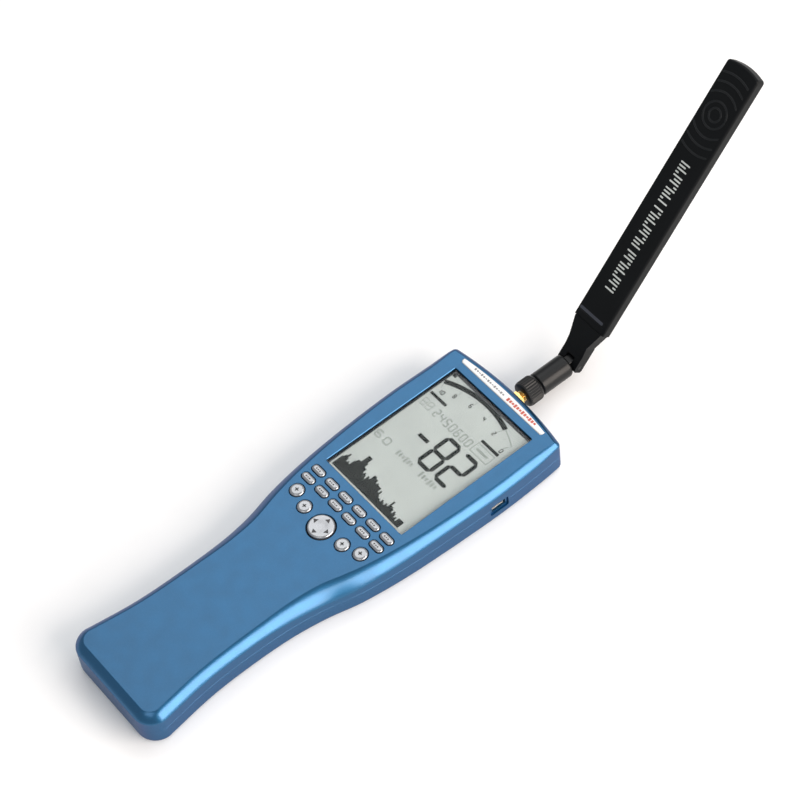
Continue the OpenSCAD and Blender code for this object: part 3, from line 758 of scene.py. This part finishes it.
def bar(x0, y0, x1, y1, width, z=None):
    """A thin bar with square ends between two points."""
    z = LCD_TOP if z is None else z
    ax = Vector((x1 - x0, y1 - y0)).normalized() * width / 2
    side = Vector((-ax.y, ax.x))
    outline = [(x0 + side.x, y0 + side.y), (x0 - side.x, y0 - side.y),
               (x1 - side.x, y1 - side.y), (x1 + side.x, y1 + side.y)]
    return slab(outline, z, z + MARK_T)


SEGMENTS = {"a": ((0, 1), (1, 1)), "b": ((1, 0.5), (1, 1)), "c": ((1, 0), (1, 0.5)), "d": ((0, 0), (1, 0)),
            "e": ((0, 0), (0, 0.5)), "f": ((0, 0.5), (0, 1)), "g": ((0, 0.5), (1, 0.5))}
DIGITS = {"0": "abcdef", "1": "bc", "2": "abged", "4": "fgbc", "5": "afgcd", "6": "afgedc", "8": "abcdefg"}


def digit(char, x, y, w, h, stroke):
    """A seven-segment digit whose lower left corner is at x, y."""
    solids = []
    for name in DIGITS[char]:
        (ax, ay), (bx, by) = SEGMENTS[name]
        start = Vector((x + stroke / 2 + ax * (w - stroke), y + stroke / 2 + ay * (h - stroke)))
        end = Vector((x + stroke / 2 + bx * (w - stroke), y + stroke / 2 + by * (h - stroke)))
        along = (end - start).normalized()
        across = Vector((-along.y, along.x)) * stroke / 2
        start += along * stroke * SEGMENT_GAP
        end -= along * stroke * SEGMENT_GAP
        outline = [start, start + along * stroke / 2 + across, end - along * stroke / 2 + across,
                   end, end - along * stroke / 2 - across, start + along * stroke / 2 - across]
        outline = [(p.x, p.y) for p in outline]
        solids.append(slab(outline, LCD_TOP, LCD_TOP + MARK_T))
    return solids


def number(text, x, y, w, h, stroke, pitch):
    """Digits in a row, each a pitch after the one before."""
    solids = []
    for i, char in enumerate(text):
        solids += digit(char, x + i * pitch, y, w, h, stroke)
    return solids


def arc_band(cx, cy, radius, start, end, width, steps=40):
    """A band along an arc, from one angle to another, in degrees."""
    outline = []
    for r, order in ((radius + width / 2, range(steps + 1)), (radius - width / 2, range(steps, -1, -1))):
        for i in order:
            a = radians(start + (end - start) * i / steps)
            outline.append((cx + r * cos(a), cy + r * sin(a)))
    return slab(outline, LCD_TOP, LCD_TOP + MARK_T)


# The gauge is an arc, dark from its start to the reading and pale from there. Angles in degrees.
GAUGE_X, GAUGE_Y, GAUGE_R = -2.3, 53.3, 57.5
GAUGE_START = 117.6
GAUGE_READING = 71.7
GAUGE_REST = 71.2
GAUGE_END = 60.5
TICKS = 11
TICK_STEP = 5.71
# Numbers on the gauge: text, x, y. Their width, height, stroke and pitch
SCALE_NUMBERS = [("10", -26.9, 97.4), ("8", -18.8, 100.6), ("6", -8.4, 102.9), ("4", 2.4, 102.7),
                 ("2", 12.8, 100.6), ("0", 23.6, 96.2)]
SCALE_SIZE = (1.7, 2.9, 0.42, 2.3)
# Other numbers: text, x, y, width, height, stroke, pitch
DARK_NUMBERS = [("82", -0.8, 61.2, 11.4, 23.2, 2.3, 13.5)]
PALE_NUMBERS = [("88", -27.6, 86, 3.1, 5.2, 0.35, 4.2), ("2450600", -17.6, 85.8, 3.2, 5.6, 0.75, 4.25),
                ("60", -28.6, 55.9, 4.6, 5, 0.95, 6.6)]
# Bars: x and y of one end, x and y of the other, width
DARK_BARS = [(-28.6, 94.9, -16.4, 94.9, 1.7), (12.8, 94.6, 25.8, 94.6, 1.7),
             (-29.2, 110.7, -26.9, 110.7, 2), (-12.1, 73.4, -4.8, 73.4, 2.2)]
PALE_BARS = [(12.6, 92.6, 25.8, 92.6, 0.4), (12.6, 86.4, 25.8, 86.4, 0.4), (12.8, 86.4, 12.8, 92.6, 0.4),
             (25.6, 86.4, 25.6, 92.6, 0.4), (15, 89.5, 23, 89.5, 1.4)]
# Groups of short bars in place of words: x, length of the group
WORD_GROUPS = [(-11.1, 12.6), (7.2, 13.2)]
WORD_Y = 58.3
WORD_BARS = 6
# The spectrum's columns: left end, base, pitch and step, and how many steps each one is high
TRACE_X, TRACE_BASE = -28.2, 28.8
TRACE_PITCH, TRACE_STEP = 0.95, 0.9
TRACE = [8, 10, 12, 9, 7, 8, 7, 11, 13, 13, 19, 19, 19, 15, 12, 12, 9, 10, 9, 7, 10, 9, 13, 13, 12, 12,
         10, 11, 10, 10, 10, 7, 9, 6, 5, 5, 4, 6, 5, 4, 6, 5, 10, 7, 7, 6, 4, 6, 5, 3, 4, 2, 5, 5, 5, 5]


def gauge_tick(angle, reach):
    """A short bar inside the gauge's arc, towards its centre."""
    inner = GAUGE_R - 1.8 - reach
    x, y = cos(angle), sin(angle)
    return bar(GAUGE_X + inner * x, GAUGE_Y + inner * y,
               GAUGE_X + (inner + reach) * x, GAUGE_Y + (inner + reach) * y, 0.35)


def spectrum():
    """Columns that stand side by side."""
    columns = []
    for i, steps in enumerate(TRACE):
        x = TRACE_X + i * TRACE_PITCH
        height = steps * TRACE_STEP
        middle = TRACE_BASE + height / 2
        columns.append(bar(x, middle, x + TRACE_PITCH + 0.02, middle, height))
    return columns


def lcd_marks():
    """Generic dial, numbers and spectrum. No words."""
    dark = [arc_band(GAUGE_X, GAUGE_Y, GAUGE_R, GAUGE_START, GAUGE_READING, 2.8)]
    pale = [arc_band(GAUGE_X, GAUGE_Y, GAUGE_R, GAUGE_REST, GAUGE_END, 0.7)]
    for i in range(TICKS):
        pale.append(gauge_tick(radians(GAUGE_START - TICK_STEP * i), 2.4 if i % 2 == 0 else 1.2))
    for text, x, y in SCALE_NUMBERS:
        dark += number(text, x, y, *SCALE_SIZE)
    for row in DARK_NUMBERS:
        dark += number(*row)
    for row in PALE_NUMBERS:
        pale += number(*row)
    dark += [bar(*row) for row in DARK_BARS]
    pale += [bar(*row) for row in PALE_BARS]
    for x, length in WORD_GROUPS:
        pitch = length / WORD_BARS
        for i in range(WORD_BARS):
            pale.append(bar(x + i * pitch, WORD_Y, x + (i + 0.62) * pitch, WORD_Y, 3.6 - 0.9 * (i % 3)))
    dark += spectrum()
    finish_piece(several("lcd_dark_marks", dark), "case", LCD_INK, slot="lcd_glass")
    finish_piece(several("lcd_pale_marks", pale), "case", LCD_PALE_INK, slot="lcd_glass")


def lens_mask_and_shade():
    """Black border printed on the lens's underside. Its opening sits low and to the right, so the border is
    wider at the top and left as painted shade of the window's walls there.
    """
    z = LENS_LOW.z - 0.15
    outer = rounded(0, WINDOW_Y, WINDOW_W + 2.6, WINDOW_H + 2.6, 0.5)
    border = mesh_object("lens_border_and_shade", *slab(outer, z, z + MARK_T))
    # The opening is moved down and right: the wider top and left border is painted shade
    inner = rounded(0.35, WINDOW_Y - 0.8, WINDOW_W - 1.9, WINDOW_H - 2.3, 0.5)
    carve(border, mesh_object("inner", *slab(inner, z - 1, z + 1)))
    finish_piece(border, "case", MASK_AND_SHADE_BLACK, slot="frame_black")


def label_strip():
    """Domed label, with generic marks in place of a name."""
    low, high = cad_box("label_strip")
    dome = [at(label_outline(0), low.z)]
    for rise, inward in [(0, 0)] + quarter(5):
        dome.append(at(label_outline(-0.7 * inward), high.z - 0.5 + 0.45 * rise))
    finish_piece(loft("label_plate", dome), "case", LABEL_WHITE, ["label_strip"])
    z = high.z - 0.12
    grey_y, grey_pitch = 120.3, 1.7
    red_y, red_pitch = 120.2, 1.9
    grey = [bar(-23 + grey_pitch * i, grey_y, -21.9 + grey_pitch * i, grey_y, 1.3 - 0.4 * (i % 3), z)
            for i in range(14)]
    red = [bar(3 + red_pitch * i, red_y, 4.4 + red_pitch * i, red_y, 2.2 - 0.5 * (i % 3), z)
           for i in range(12)]
    finish_piece(several("label_grey_marks", grey), "case", INK_GREY, slot="label_white")
    finish_piece(several("label_red_marks", red), "case", INK_RED, slot="label_white")


# ---- Keys ----

KEY_DOME = 0.85
KEY_ROUND = 1.6
KEY_REACH = 3.5
FLANGE_T = 1
NUB_INSET = 1.4
MARK_SINK = 0.08


def key_cap(node):
    """A cap with a domed crown, a flange that keeps it in the case and a nub under it."""
    low, high = cad_box(node)
    top = high.z
    flange_z = top - KEY_REACH
    nub = key_outline(node, -NUB_INSET)
    flange = key_outline(node, FLANGE_EXTRA / 2)
    cap = key_outline(node, 0)
    rings = [at(nub, low.z), at(nub, flange_z - FLANGE_T), at(flange, flange_z - FLANGE_T),
             at(flange, flange_z), at(cap, flange_z), at(cap, top - KEY_DOME)]
    for rise, inward in quarter(10)[:-1]:
        rings.append(at(key_outline(node, -KEY_ROUND * inward), top - KEY_DOME + KEY_DOME * rise))
    key = loft(node + "_cap", rings)
    finish_piece(key, node, KEY_SILVER, [node], angle=50)
    x, y, _ = cad_centre(node)
    z = top - MARK_SINK
    if node in PILLS:
        pitch = 1.3
        marks = [bar(x - 1.9 + pitch * i, y, x - 1.1 + pitch * i, y, 0.9 - 0.2 * (i % 2), z)
                 for i in range(3)]
    else:
        arm = 1.2
        marks = [bar(x - arm, y, x + arm, y, 0.7, z), bar(x, y - arm, x, y + arm, 0.7, z)]
    finish_piece(several(node + "_mark", marks), node, KEY_INK, slot="key_silver")


def nav_disc():
    """Disc with a raised rim, a dished face and four direction marks, and its two lugs."""
    low, high = cad_box("nav_disc")
    radius = high.x
    top = high.z
    rim = 1
    dish = 0.45
    under_z, hollow_z, hollow_r = 21.2, 22.6, 5
    profile = [(hollow_z, POINT_R), (hollow_z, hollow_r), (under_z, hollow_r), (under_z, radius),
               (top - rim, radius)]
    profile += [(top - rim + rim * rise, radius - rim * inward) for rise, inward in quarter(6)]
    for i in range(1, 9):
        t = i / 8
        profile.append((top - dish * sin(t * pi / 2) ** 2, (radius - 1.2) * (1 - t) + POINT_R))
    disc = loft("nav_disc_cap", turned_rings(profile, 96))
    lugs = [box_solid((-0.9, y, low.z), (0.9, y + 1, 22.8)) for y in (-2.6, 1.6)]
    carve(disc, several("lugs", lugs), "UNION")
    finish_piece(disc, "nav_top", KEY_SILVER, ["nav_disc"], angle=50)
    arrows = []
    for k in range(4):
        turn = Matrix.Rotation(radians(90 * k), 3, "Z")
        plan = [turn @ Vector(p) for p in ((6.1, 0, 0), (3.9, 1.5, 0), (3.9, -1.5, 0))]
        plan = [(p.x, p.y) for p in plan]
        arrows.append(slab(plan, top - 0.6, top + 0.02))
    finish_piece(several("nav_arrows", arrows), "nav_top", PART_GREY)


# ---- Side fittings ----

def jog_wheel():
    """Knurled dial with a spindle."""
    low, high = cad_box("jog_dial")
    centre = pivot("jog_turn")
    z0 = low.z
    z1 = z0 + 3.4
    radius = 7
    spindle_r = 1.5
    profile = [(z0, POINT_R), (z0, radius - 1.2), (z0 + 0.3, radius - 0.4), (z0 + 0.6, radius),
               (z1 - 0.6, radius), (z1 - 0.3, radius - 0.4), (z1, radius - 1.2), (z1, spindle_r),
               (high.z, spindle_r), (high.z, POINT_R)]
    rings = moved(turned_rings(profile, 240, (40, 0.45, z0 + 0.2, z1 - 0.2)), centre.x, centre.y)
    finish_piece(loft("jog_dial_wheel", rings), "jog_wheel", PART_GREY, ["jog_dial"])


# ---- Antenna socket and coupling, round the Y axis ----

def sma_jack():
    """Flange inside the case, and a threaded barrel with an open mouth."""
    low, high = cad_box("sma_jack")
    mouth = high.y
    tail_r = 1.9
    flange_r = 4.4
    flange_y0, flange_y1 = 121.25, 124.25
    thread_y = 124.4
    thread_r = 3.17
    bore_r = 2.3
    bore_y = mouth - 4.8
    pitch = 0.706
    profile = [(low.y, POINT_R), (low.y, tail_r), (flange_y0, tail_r), (flange_y0, flange_r),
               (flange_y1, flange_r), (flange_y1, thread_r)]
    for i in range(int((mouth - 124.6) / pitch)):
        profile += [(thread_y + pitch * i, 2.85), (thread_y + pitch * (i + 0.5), thread_r)]
    profile += [(mouth - 0.3, 2.95), (mouth, 2.7), (mouth, bore_r), (bore_y, bore_r), (bore_y, POINT_R)]
    jack = loft("antenna_socket", turned_rings(profile, 72), ALONG_Y)
    finish_piece(jack, "case", CONTACT_GOLD, ["sma_jack"])


def sma_lock_nut():
    """Hexagon nut with its corners chamfered at both faces."""
    low, high = cad_box("sma_lock_nut")
    corner = (high.x - low.x) / 2
    flat = corner * cos(radians(30))
    rings = []
    steps = 72
    for y, reach in ((low.y, flat), (low.y + 0.35, corner), (high.y - 0.35, corner), (high.y, flat)):
        ring = []
        for i in range(steps):
            a = 2 * pi * i / steps
            wedge = (a + pi / 6) % (pi / 3) - pi / 6
            r = min(flat / cos(pi / 6 - abs(wedge)), reach)
            ring.append((r * cos(a), r * sin(a), y))
        rings.append(ring)
    nut = loft("socket_nut", rings, ALONG_Y)
    finish_piece(nut, "case", CONTACT_GOLD, ["sma_lock_nut"])


def antenna_nut():
    """Knurled coupling nut, open through: the profile closes on itself."""
    low, high = cad_box("antenna_nut")
    r = high.x
    y0, y1 = low.y, high.y
    neck_y = 138.4
    socket_r, neck_r = 3.23, 2.7
    profile = [(neck_y, socket_r), (y0, socket_r), (y0, 6.2), (y0 + 0.4, 6.9), (y0 + 1.2, r - 0.1),
               (y0 + 1.5, r), (y1 - 1.8, r), (y1 - 1.4, r - 0.15), (y1 - 0.5, r - 0.6), (y1, r - 1.2),
               (y1, neck_r), (neck_y, neck_r)]
    rings = turned_rings(profile, 288, (32, 0.45, y0 + 1.3, y1 - 1.6))
    points, faces = lofted(rings)
    count = len(rings[0])
    last = (len(rings) - 1) * count
    faces = faces[1:-1] + [[last + i, last + (i + 1) % count, (i + 1) % count, i] for i in range(count)]
    nut = mesh_object("coupling_sleeve", points, faces, ALONG_Y)
    finish_piece(nut, "coupling_nut", NUT_BLACK, ["antenna_nut"])


# ---- Antenna ----

HINGE = pivot("antenna_tilt")
TILT = 47
# In the blade's own frame: x across, d along it from the hinge and n out of its face
BLADE = Matrix.Translation(HINGE) @ Matrix.Rotation(radians(TILT), 4, "X")
BLADE_HALF = 11.1
BLADE_T = 7
BLADE_N1 = 4.6
BLADE_N0 = BLADE_N1 - BLADE_T
SHOULDER_D = 23.2
BLADE_END = 181.9
TIP_SAGITTA = 1.3
TIP_CORNER = 2
BLADE_EDGE = 1.3


def antenna_barrel():
    """Barrel with a rounded end, and the tongue that goes into the fork."""
    low, high = cad_box("antenna_barrel")
    r = high.x
    y0 = low.y
    y1 = HINGE.y - 3.9
    plug_r, plug_depth = 2.65, 5.7
    end_r = 1.6
    profile = [(y0 + plug_depth, POINT_R), (y0 + plug_depth, plug_r), (y0, plug_r), (y0, r - 0.9),
               (y0 + 0.25, r - 0.45), (y0 + 0.8, r), (y1 - end_r, r)]
    profile += [(y1 - end_r + end_r * rise, r - end_r * inward) for rise, inward in quarter(5)]
    profile.append((y1, POINT_R))
    barrel = loft("antenna_base_barrel", turned_rings(profile, 96), ALONG_Y)
    tongue = []
    tongue_r, tongue_half, bevel = 3, 2.6, 0.25
    steps = 20
    for x, shrink in ((-tongue_half, bevel), (bevel - tongue_half, 0), (tongue_half - bevel, 0),
                      (tongue_half, bevel)):
        radius = tongue_r - shrink
        outline = [(x, y1 - 1, AXIS_Z - radius)]
        for i in range(steps + 1):
            a = radians(-90 + 180 * i / steps)
            outline.append((x, HINGE.y + radius * cos(a), AXIS_Z + radius * sin(a)))
        outline.append((x, y1 - 1, AXIS_Z + radius))
        tongue.append(outline)
    carve(barrel, loft("tongue", tongue), "UNION")
    finish_piece(barrel, "antenna_base", BARREL_BLACK, ["antenna_barrel"], slot="antenna_black")


def blade_outline(shrink):
    """Plan of the sleeve: straight sides, a shallow arc at the tip with round corners."""
    side_steps, corner_steps, tip_steps = 41, 8, 24
    half = BLADE_HALF - shrink
    corner = max(TIP_CORNER - shrink, 0.6)
    end = BLADE_END - shrink
    side_end = end - TIP_SAGITTA - corner
    outline = [(-half, SHOULDER_D), (half, SHOULDER_D)]
    right = []
    for i in range(1, side_steps + 1):
        right.append((half, SHOULDER_D + (side_end - SHOULDER_D) * i / side_steps))
    for i in range(1, corner_steps):
        a = radians(90 * i / corner_steps)
        right.append((half - corner + corner * cos(a), side_end + corner * sin(a)))
    flat = half - corner
    tip = []
    for i in range(tip_steps + 1):
        x = flat * (1 - 2 * i / tip_steps)
        tip.append((x, end - TIP_SAGITTA * (x / flat) ** 2))
    return outline + right + tip + [(-x, d) for x, d in reversed(right)]


def antenna_blade():
    """Sleeve with rounded edges and a step at its shoulder."""

    def blade_ring(degrees, face, away):
        a = radians(degrees)
        outline = blade_outline(BLADE_EDGE * (1 - cos(a)))
        return at(outline, face + away * BLADE_EDGE * (1 - sin(a)))

    rings = [blade_ring(90 - 15 * i, BLADE_N0, 1) for i in range(7)]
    rings += [blade_ring(15 * i, BLADE_N1, -1) for i in range(7)]
    blade = loft("blade_sleeve", rings, BLADE)
    step = [(20, 6), (20, 4.15), (26.4, 4.15), (27.4, 4.65), (27.4, 6)]
    carve(blade, loft("step", [[(x, d, n) for d, n in step] for x in (-15, 15)], BLADE))
    finish_piece(blade, "antenna_arm", ANTENNA_BLACK, ["antenna_blade"])


def bead(path, width, height, base):
    """A low round rib along a path in the blade's plane."""
    rings = []
    for i, (x, d) in enumerate(path):
        before = Vector(path[max(i - 1, 0)])
        after = Vector(path[min(i + 1, len(path) - 1)])
        along = (after - before).normalized()
        across = Vector((-along.y, along.x))
        taper = 0.35 if i in (0, len(path) - 1) else 1
        ring = []
        for k in range(7):
            a = radians(180 * k / 6)
            side = across * (width / 2 * cos(a) * taper)
            ring.append((x + side.x, d + side.y, base + height * sin(a) * taper))
        ring.append((x, d, base - 0.1))
        rings.append(ring)
    return lofted(rings)


def blade_rings():
    """Concentric ribs near the tip, which stop short of the sleeve's edges. They are drawn in a lighter black
    than the sleeve as painted highlight.
    """
    centre_x, centre_d = -0.4, 152.9
    reach = BLADE_HALF - 1.9
    solids = []
    for radius in (3.6, 7.1, 12.5, 17.5, 22.5):
        if radius < reach:
            parts = [(0, 2 * pi, 64)]
        else:
            limit = asin(reach / radius)
            parts = [(middle - limit, middle + limit, 32) for middle in (pi / 2, -pi / 2)]
        for a0, a1, steps in parts:
            path = []
            for i in range(steps + 1):
                a = a0 + (a1 - a0) * i / steps
                path.append((centre_x + radius * cos(a), centre_d + radius * sin(a)))
            path = [p for p in path if p[1] < BLADE_END - 2.6]
            solids.append(bead(path, 1.1, 0.2, BLADE_N1))
    ribs = several("blade_ribs", solids, BLADE)
    finish_piece(ribs, "antenna_arm", RIB_HIGHLIGHT_BLACK, slot="antenna_black", angle=60)


def blade_marks():
    """Thin grey-white bars in place of lettering, and a lighter strip across the shoulder that is partly
    painted highlight of the chamfer beside it and partly faint lettering.
    """
    start_d, pitch = 45.5, 1.95
    tall = 3.2
    solids = []
    for i in range(42):
        if i % 14 == 13:
            continue
        reach = (tall, 1.1, tall, 2.3)[i % 4]
        x = reach - tall if i % 8 > 3 else tall - reach
        outline = rounded(x, start_d + pitch * i, 2 * reach, 0.85, 0.3)
        solids.append(slab(outline, BLADE_N1 - 0.1, BLADE_N1 + 0.03))
    marks = several("blade_print", solids, BLADE)
    finish_piece(marks, "antenna_arm", INK_WHITE, slot="antenna_black")
    # The lighter strip by the step's chamfer is partly painted highlight, partly faint lettering
    line = rounded(-1.2, 28.4, 17.5, 1.7, 0.8)
    strip = mesh_object("blade_shoulder_highlight_and_print", *slab(line, BLADE_N1 - 0.1, BLADE_N1 + 0.02), BLADE)
    finish_piece(strip, "antenna_arm", SHOULDER_HIGHLIGHT_AND_PRINT, slot="antenna_black")


def carried_nodes():
    """CAD nodes whose own shape is right."""
    for look, bevel, nodes in (
        (ANTENNA_BLACK, 0.5, ["antenna_fork"]),
        (PIN_STEEL, 0.15, ["antenna_hinge_pin"]),
        (CONTACT_GOLD, 0.1, ["antenna_plug", "antenna_centre_pin"]),
        (BOARD_GREEN, 0.1, ["antenna_element", "main_board"]),
        (CAN_TIN, 0.12, ["usb_socket"]),
        (CHIP_BLACK, 0.25, ["earphone_jack"]),
        (CHIP_BLACK, 0.2, ["jog_encoder", "speaker"]),
        (LENS_CLEAR, 0, ["display_lens"]),
        (LCD_GLASS, 0, ["lcd_panel"]),
        (LIGHT_GUIDE, 0.2, ["lcd_backlight"]),
        (FRAME_BLACK, 0.2, ["lcd_frame"]),
        (ZEBRA_RUBBER, 0.1, ["zebra_strips"]),
        (MAT_RUBBER, 0.2, ["keypad_mat"]),
        (PART_GREY, 0.2, ["nav_actuator", "nav_post"]),
        (CHIP_BLACK, 0.1, ["board_chips"]),
        (CAN_TIN, 0.15, ["shield_can_input", "shield_can_mixer"]),
        (CELL_FILM, 0.3, ["battery_pack"]),
        (CONNECTOR_IVORY, 0.1, ["battery_connector"]),
        (SCREW_STEEL, 0.1, ["board_screws"]),
        (INSULATOR_WHITE, 0.1, ["sma_insulator"]),
        (CONTACT_GOLD, 0.05, ["sma_contact"]),
        (COPPER, 0.1, ["coax_jumper"]),
    ):
        for node in nodes:
            dress(node, look, bevel)


# ---- Camera, floor and lights ----

# Where the camera stands, in metres, where it looks, and what hangs down in its view
EYE = Vector((0.6782, -0.3717, 1.187))
FORWARD = Vector((-0.4957, 0.3135, -0.81))
DOWN = Vector((0.6009, -0.5495, -0.5804))
FOCAL_LENGTH = 124.97
SENSOR_WIDTH = 36
FLOOR_SIZE = 9000
FLOOR_T = 5
SKY_COLOR = (0.95, 0.97, 1, 1)
SKY_STRENGTH = 0.5
# Soft boxes: name, place and size in metres, watts, colour
LIGHTS = [
    ("face_light", (-0.95, 0.7, 1.7), (1.2, 1.2), 6.9, (1, 1, 1)),
    ("camera_side_light", (0.55, -1.1, 1.6), (1.2, 1), 5, (1, 1, 1)),
    ("head_light", (0.2, 1.15, 1.5), (1.2, 1), 7, (1, 1, 1)),
    ("edge_light", (1.72, 0.68, 0.86), (1.9, 1.5), 62, (1, 0.9, 0.82)),
]
LIGHTS_AIM = (0, 0.05, 0)


def camera():
    lens = bpy.data.cameras.new("camera")
    lens.sensor_width = SENSOR_WIDTH
    lens.lens = FOCAL_LENGTH
    lens.clip_start = 0.05
    lens.clip_end = 20
    cam = bpy.data.objects.new("camera", lens)
    forward = FORWARD.normalized()
    up = -(DOWN - forward * DOWN.dot(forward)).normalized()
    right = forward.cross(up)
    turn = Matrix((right, up, -forward)).transposed()
    cam.matrix_world = Matrix.Translation(EYE) @ turn.to_4x4()
    bpy.context.scene.collection.objects.link(cam)
    bpy.context.scene.camera = cam


def area_light(name, place, size, power, color):
    """A soft box that faces the object. size is its width and height."""
    lamp = bpy.data.lights.new(name, "AREA")
    lamp.shape = "RECTANGLE"
    lamp.size, lamp.size_y = size
    lamp.energy = power
    lamp.color = color
    obj = bpy.data.objects.new(name, lamp)
    obj.location = place
    obj.rotation_mode = "QUATERNION"
    obj.rotation_quaternion = (Vector(LIGHTS_AIM) - Vector(place)).to_track_quat("-Z", "Y")
    bpy.context.scene.collection.objects.link(obj)


def studio():
    sheet = rounded(0, 0, FLOOR_SIZE, FLOOR_SIZE, 10)
    floor = mesh_object("floor", *slab(sheet, -FLOOR_T, 0))
    pale = material("floor_pale", (0.9, 0.905, 0.91), 0.7, vary=0.01, grain=40, bump=0.02)
    floor.data.materials.append(pale)
    for light in LIGHTS:
        area_light(*light)
    world = bpy.data.worlds.new("studio")
    world.use_nodes = True
    set_inputs(world.node_tree.nodes["Background"], Color=SKY_COLOR, Strength=SKY_STRENGTH)
    bpy.context.scene.world = world
    bpy.context.scene.view_settings.view_transform = "Standard"


camera()
studio()
front_shell()
rear_shell()
battery_door()
case_screws()
tripod_insert()
lcd_marks()
lens_mask_and_shade()
label_strip()
for key in PILLS + ROUNDS:
    key_cap(key)
nav_disc()
jog_wheel()
sma_jack()
sma_lock_nut()
antenna_nut()
antenna_barrel()
antenna_blade()
blade_rings()
blade_marks()
carried_nodes()
